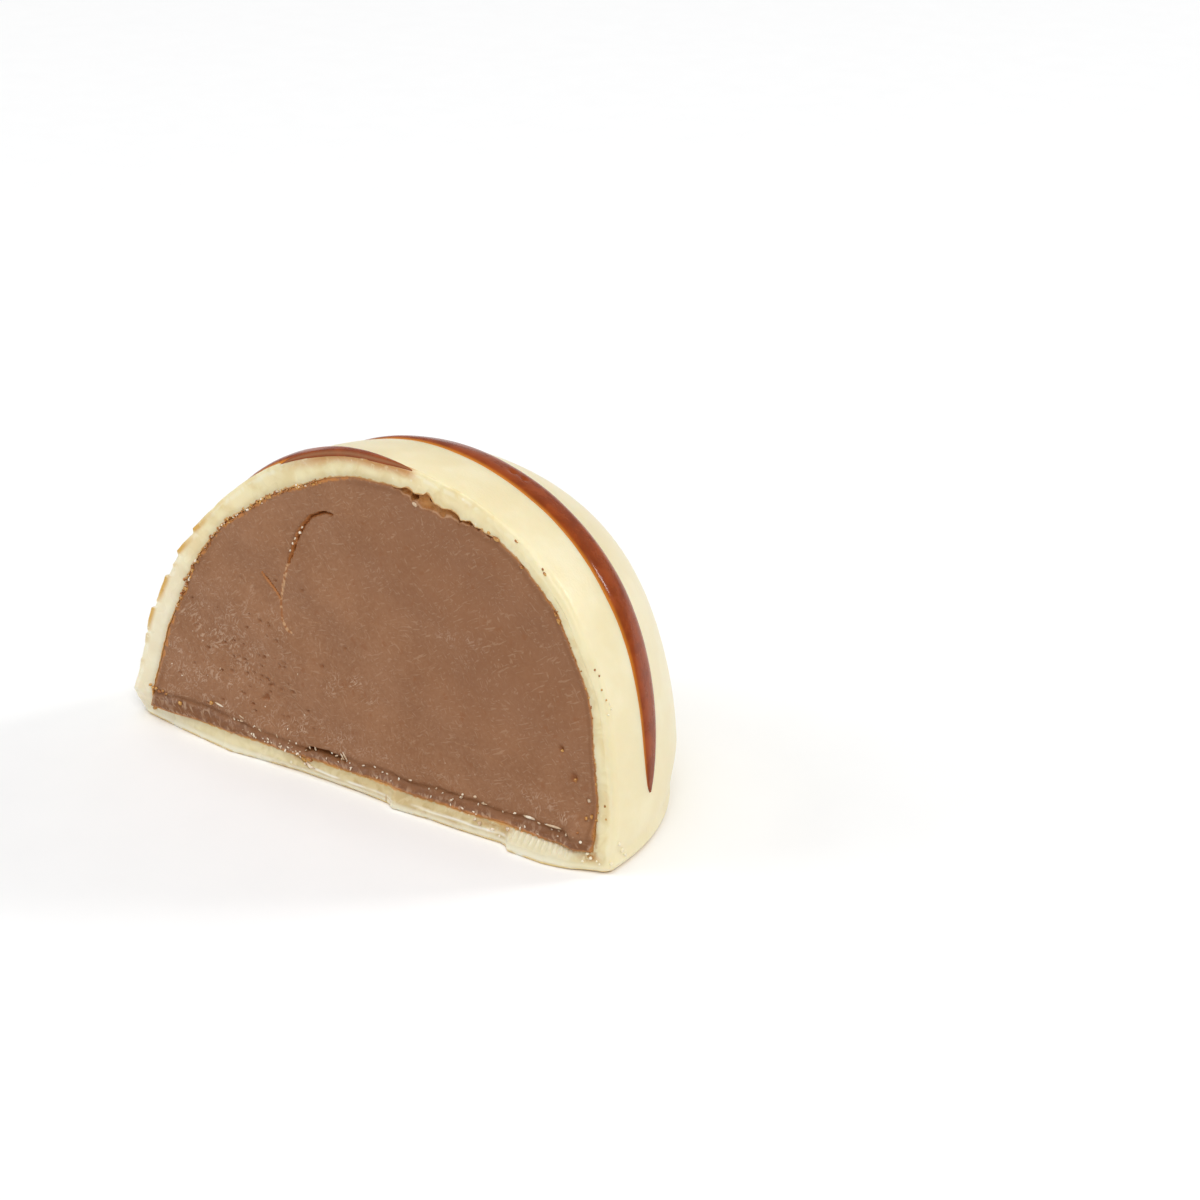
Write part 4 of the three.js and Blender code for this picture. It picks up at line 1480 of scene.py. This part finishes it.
def height_in(tree, place):
    """How high above the ground a place is."""
    made = add_node(tree, "ShaderNodeSeparateXYZ")
    tree.links.new(place, made.inputs[0])
    return made.outputs["Z"]


def layer_colour(tree, place, blots):
    """The floor layer's cut: dull in its middle, pale where it is thin and under its ridge."""
    layer = patchy(tree, blots, 0.35, 0.65, IVORY_LAYER)
    dull = patchy(tree, blots, 0.38, 0.62, IVORY_DULL)
    layer = tinted(tree, layer, dull, mask(tree, "dull"))
    layer = tinted(tree, layer, LAYER_THIN, mask(tree, "thin"), 0.7)
    under_ridge = falling(tree, height_in(tree, place), 0.22, 0.5)
    return tinted(tree, layer, LAYER_FOOT, under_ridge, 0.75)


def cut_coat_colour(tree, place, groups):
    """The coat where it was cut: smeared, paler where it is thin, with a pale lip that is partly a
    painted highlight, and a painted highlight along the floor layer's ridge.
    """
    blots = clouds(tree, place, 1.7, 3.0, 0.6)
    layer = mask(tree, "layer")
    colour = patchy(tree, clouds(tree, place, 0.8, 3.0, 0.8), 0.35, 0.65, IVORY_CUT)
    colour = tinted(tree, colour, COAT_THIN, mask(tree, "thin"))
    colour = tinted(tree, colour, layer_colour(tree, place, blots), layer)
    specks = placed(tree, groups["specks"], Spacing=0.8, Size=0.1).outputs["Specks"]
    colour = tinted(tree, colour, COAT_SPECKS, specks, 0.7)
    # The lip: partly the coat's own pale edge, partly a painted highlight along it.
    lip = strip(tree, mask(tree, "edge"), 0.12, 0.24, 0.3, 0.5)
    broken = ramped(tree, blots, 0.4, 0.6)
    colour = tinted(tree, colour, COAT_LIP_AND_HIGHLIGHT, lip, inverse(tree, layer), broken, 0.35)
    # A painted highlight along the floor layer's ridge.
    return tinted(tree, colour, LAYER_RIDGE_HIGHLIGHT, mask(tree, "ridge"), 0.8)


def coat_stains_and_shade(tree, place, colour):
    """Brown and amber over the coat, with painted light and shade: painted shade beside the filling,
    amber at the filling, stains, the smear under the stripe with a painted highlight, amber burrs, and
    an amber foot painted brighter to stand in for light.
    """
    uneven = clouds(tree, place, 3.2, 3.0, 0.5)
    rim = mask(tree, "rim")
    edge = mask(tree, "edge")
    smear = mask(tree, "smear")
    # Painted shade on the coat beside the filling, less of it toward the right.
    shade = falling(tree, rim, 0.02, 0.45)
    colour = tinted(tree, colour, RIM_SHADE, shade, mask(tree, "shaded"), 0.4)
    ragged = calculate(tree, "MULTIPLY_ADD", uneven, -0.22, rim)
    colour = tinted(tree, colour, RIM_AMBER, falling(tree, ragged, -0.09, -0.02), 0.9)
    colour = tinted(tree, colour, STAIN, mask(tree, "stain"), ramped(tree, uneven, 0.3, 0.6))
    colour = tinted(tree, colour, SMEAR, smear, ramped(tree, uneven, 0.1, 0.45))
    # A painted highlight in a thin line along the smear.
    colour = tinted(tree, colour, SMEAR_HIGHLIGHT, smear, strip(tree, edge, 0.02, 0.06, 0.1, 0.17), 0.7)
    outside = calculate(tree, "LESS_THAN", mask(tree, "cut"), 0.5)
    outer = calculate(tree, "MAXIMUM", falling(tree, edge, 0.15, 0.55), outside)
    torn = ramped(tree, uneven, 0.22, 0.45)
    colour = tinted(tree, colour, BURR_AMBER, mask(tree, "burr"), torn, outer)
    # The amber foot in patches: partly its own caramel edge, partly painted light in the foot's shade.
    foot = falling(tree, height_in(tree, place), 0.05, 0.2)
    foot_patches = ramped(tree, clouds(tree, place, 0.9, 4.0), 0.34, 0.5)
    return tinted(tree, colour, FOOT_AMBER_AND_LIGHT, foot, foot_patches)


def white_chocolate(groups):
    """Ivory coat: satin outside, glossier and smeared on the cut, amber at burrs and edges."""
    material, tree, shader = new_material("white chocolate")
    tone = placed(tree, groups["tone"], Patches=0.35, Grain=6.0)
    place = object_place(tree)
    outside = patchy(tree, tone.outputs["Tone"], 0.35, 0.7, IVORY_OUTSIDE)
    colour = tinted(tree, outside, cut_coat_colour(tree, place, groups), mask(tree, "cut"))
    rough = calculate(tree, "MULTIPLY_ADD", tone.outputs["Tone"], 0.22, 0.24)
    rough = calculate(tree, "MULTIPLY_ADD", mask(tree, "cut"), -0.08, rough)
    finished(
        tree, shader, coat_stains_and_shade(tree, place, colour), rough, IOR=1.45,
        Subsurface_Weight=0.35, Subsurface_Radius=(0.0014, 0.0010, 0.0006), Subsurface_Scale=1.0,
    )
    bumped(tree, shader, tone.outputs["Grain"], 0.03, 0.5)
    return material


def filling_marks(tree, place):
    """Pale strokes over the filling, thin everywhere and thick where it is frosted."""
    swirled = bent(tree, place, 0.22, 2.6)
    along = strokes(tree, swirled, 25, 0.11, 0.55, 0.60, 0.72)
    across = strokes(tree, swirled, -50, 0.10, 0.42, 0.62, 0.74)
    thin = calculate(tree, "MAXIMUM", along, across)
    close = strokes(tree, bent(tree, place, 0.9, 1.2), 60, 0.09, 0.3, 0.5, 0.64)
    tufts = ramped(tree, clouds(tree, place, 1.4, 3.0), 0.42, 0.62)
    frosted = times(tree, calculate(tree, "MAXIMUM", close, thin), mask(tree, "frost"), tufts)
    return thin, frosted


def milk_colour(tree, place, groups, tone, thin, frosted):
    """The filling's cut: mottled, deeper to the right, with the blade's pale marks, and painted shade
    in its crease and pits.
    """
    colour = patchy(tree, tone.outputs["Tone"], 0.3, 0.7, MILK)
    hairs = placed(tree, groups["marks"], Size=0.9, Thinness=0.012)
    specks = placed(tree, groups["specks"], Spacing=0.8, Size=0.06)
    for tint, share, strength in (
        (MILK_GRAIN, ramped(tree, tone.outputs["Grain"], 0.42, 0.62), 0.22),
        (MILK_DEEPER, mask(tree, "deeper"), 0.5),
        (MILK_WARM, ramped(tree, clouds(tree, place, 2.1, 3.0), 0.6, 0.74), 0.45),
        (MILK_STROKES, thin, 0.3),
        (MILK_HAIRS, hairs.outputs["Marks"], 0.3),
        (MILK_FROST, frosted, 0.8),
        (MILK_SPECKS, specks.outputs["Specks"], 0.6),
        (MILK_CREASE_SHADE, mask(tree, "crease"), 0.75),
        (MILK_PIT_SHADE, mask(tree, "pit"), 0.7),
    ):
        colour = tinted(tree, colour, tint, share, strength)
    return colour


def band_and_seams(tree, place, colour):
    """The combed band under the crease, its pale streaks a painted sheen, and the seams below and
    beside the split.
    """
    combed = clouds(tree, stretched(tree, turned(tree, place, 50), (5.5, 2.0, 1.9)), 1.0, 2.0, 0.9)
    # The band's own brown, streaked with a painted sheen.
    band = patchy(tree, combed, 0.48, 0.62, MILK_BAND_AND_SHEEN)
    colour = tinted(tree, colour, band, mask(tree, "band"), 0.85)
    seam = patchy(tree, clouds(tree, place, 4.5, 1.0), 0.4, 0.6, MILK_SEAM)
    return tinted(tree, colour, seam, ramped(tree, mask(tree, "seams"), 0.0, 0.55), 0.9)


def filling_edges(tree, place, colour):
    """The filling's rim, its broken shelf painted lighter for its shade, and the inside of its split
    and slot, with painted shade deep inside them.
    """
    rim = mask(tree, "rim")
    shelf = mask(tree, "shelf")
    grainy = mask(tree, "grainy")
    crack = mask(tree, "crack")
    inner_line = strip(tree, rim, 0.12, 0.24, 0.3, 0.5)
    colour = tinted(tree, colour, MILK_INNER_LINE, inner_line, inverse(tree, grainy), 0.9)
    # The broken shelf: its own orange-tan, painted lighter to make up for its shade.
    colour = tinted(tree, colour, MILK_SHELF, shelf, 0.85)
    colour = tinted(tree, colour, MILK_SHELF_LIP, strip(tree, shelf, 0.03, 0.2, 0.25, 0.5), 0.5)
    uneven = times(tree, clouds(tree, place, 4.5, 2.0, 0.4), grainy)
    reach = calculate(tree, "MULTIPLY_ADD", uneven, -0.34, rim)
    lasting = ramped(tree, clouds(tree, place, 1.9, 3.0), 0.4, 0.56)
    lasting = calculate(tree, "MAXIMUM", lasting, inverse(tree, grainy))
    colour = tinted(tree, colour, MILK_RIM, falling(tree, reach, -0.06, 0.07), lasting, 0.85)
    colour = tinted(tree, colour, CRACK_SIDE, ramped(tree, crack, 0.02, 0.3), 0.9)
    # Painted shade deep inside the split, its branch and the slot.
    return tinted(tree, colour, CRACK_SHADE, ramped(tree, crack, 0.4, 0.8), 0.85)


def milk_filling(groups):
    """Milk chocolate filling: satin and marked, with a combed band and an orange rim."""
    material, tree, shader = new_material("milk chocolate filling")
    tone = placed(tree, groups["tone"], Patches=0.4, Grain=5.5)
    place = object_place(tree)
    thin, frosted = filling_marks(tree, place)
    colour = milk_colour(tree, place, groups, tone, thin, frosted)
    colour = band_and_seams(tree, place, colour)
    colour = filling_edges(tree, place, colour)
    rough = calculate(tree, "MULTIPLY_ADD", mask(tree, "band"), -0.2, 0.5)
    finished(tree, shader, colour, rough, IOR=1.45, Specular_IOR_Level=0.35)
    marks = calculate(tree, "MAXIMUM", thin, frosted)
    height = calculate(tree, "MULTIPLY_ADD", marks, 0.3, tone.outputs["Grain"])
    bumped(tree, shader, height, 0.04, 0.8)
    return material


def dark_drizzle(groups):
    """Dark chocolate drizzle: glossy, red-brown, with thin amber edges and painted light on its far
    flank.
    """
    material, tree, shader = new_material("dark chocolate drizzle")
    tone = placed(tree, groups["tone"], Patches=0.8, Grain=7.0)
    specks = placed(tree, groups["specks"], Spacing=0.6, Size=0.05)
    edge = ramped(tree, mask(tree, "across"), 0.72, 0.97)
    lit_flank = times(tree, ramped(tree, mask(tree, "behind"), 0.35, 0.6), inverse(tree, edge))
    colour = patchy(tree, tone.outputs["Tone"], 0.3, 0.7, DRIZZLE)
    colour = tinted(tree, colour, DRIZZLE_EDGE, edge, 0.9)
    colour = tinted(tree, colour, DRIZZLE_FLANK_LIGHT, lit_flank, 0.25)
    colour = tinted(tree, colour, DRIZZLE_DRAGGED, mask(tree, "dragged"), 0.9)
    colour = tinted(tree, colour, DRIZZLE_SPECKS, specks.outputs["Specks"], 0.5)
    rough = calculate(tree, "MULTIPLY_ADD", tone.outputs["Tone"], 0.15, 0.2)
    finished(
        tree, shader, colour, rough, IOR=1.45, Specular_IOR_Level=0.06, Coat_Weight=0.2,
        Coat_Roughness=0.07, Subsurface_Weight=0.1, Subsurface_Radius=(0.0006, 0.0002, 0.0001),
        Subsurface_Scale=1.0,
    )
    bumped(tree, shader, tone.outputs["Grain"], 0.015, 0.5)
    return material


def crumb_material(name, shades):
    """Small crumbs or droplets of chocolate and its fat."""
    material, tree, shader = new_material(name)
    colour = patchy(tree, clouds(tree, object_place(tree), 3.0, 2.0), 0.4, 0.6, shades)
    finished(tree, shader, colour, 0.14, IOR=1.5)
    return material


# ---- The studio ----

def pale_floor():
    """The plain pale floor, which reaches well past the picture."""
    mesh = bpy.data.meshes.new("studio_floor")
    reach = FLOOR_REACH
    low = -FLOOR_BELOW
    corners = [(-reach, -reach, low), (reach, -reach, low), (reach, reach, low), (-reach, reach, low)]
    mesh.from_pydata(corners, [], [(0, 1, 2, 3)])
    material, tree, shader = new_material("white paper")
    grain = clouds(tree, tree.nodes.new("ShaderNodeTexCoord").outputs["Object"], 300.0, 3.0)
    finished(tree, shader, blended(tree, grain, *FLOOR_PAPER), 0.9, Specular_IOR_Level=0.1)
    mesh.materials.append(material)
    in_scene("studio_floor", mesh)


def turned_toward(thing, place, aim):
    """Puts a lamp or a camera at a place and turns it to face another."""
    thing.location = place
    thing.rotation_euler = (Vector(aim) - Vector(place)).to_track_quat("-Z", "Y").to_euler()


def softbox(name, place, wide, tall, power):
    """One soft rectangular lamp."""
    light = bpy.data.lights.new(name, "AREA")
    light.shape = "RECTANGLE"
    light.size = wide
    light.size_y = tall
    light.energy = power
    turned_toward(in_scene(name, light), place, LIGHTS_AIM)


def studio_light():
    """Even room light and the soft lamps."""
    world = bpy.data.worlds.new("pale room")
    world.use_nodes = True
    background = world.node_tree.nodes["Background"]
    background.inputs["Color"].default_value = (1.0, 1.0, 1.0, 1.0)
    background.inputs["Strength"].default_value = ROOM_LIGHT
    bpy.context.scene.world = world
    for light in LIGHTS:
        softbox(*light)
    bpy.context.scene.view_settings.view_transform = "Standard"


def photo_camera():
    """The camera, as it was fitted to the photograph."""
    data = bpy.data.cameras.new("camera")
    data.lens = CAMERA_LENS
    data.sensor_width = 36
    data.clip_start = 0.01
    data.clip_end = 20
    camera = in_scene("camera", data)
    turned_toward(camera, Vector(CAMERA_PLACE) * MM, Vector(CAMERA_AIM) * MM)
    bpy.context.scene.camera = camera


def dress(piece, material, slot, *nodes):
    """Gives a piece its material and its body, and hides the CAD parts that it stands for. The slot is
    not used.
    """
    piece.data.materials.append(material)
    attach(piece, "root")
    if nodes:
        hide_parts(*nodes)


photo_camera()
pale_floor()
studio_light()
groups = {"tone": uneven_tone_group(), "marks": hair_marks_group(), "specks": fat_specks_group()}
dress(coat_mesh(), white_chocolate(groups), "white_chocolate", "shell")
dress(filling_mesh(), milk_filling(groups), "filling", "filling")
dress(pale_crumbs(), crumb_material("pale crumbs", PALE_CRUMB), "white_chocolate")
dress(fat_droplets(), crumb_material("fat droplets", FAT_DROPLET), "white_chocolate")
dress(amber_crumbs(), crumb_material("amber crumbs", AMBER_CRUMB), "filling")
drizzle = dark_drizzle(groups)
for stripe_name, stripe in STRIPES.items():
    dress(stripe_mesh(stripe_name, stripe), drizzle, "drizzle")
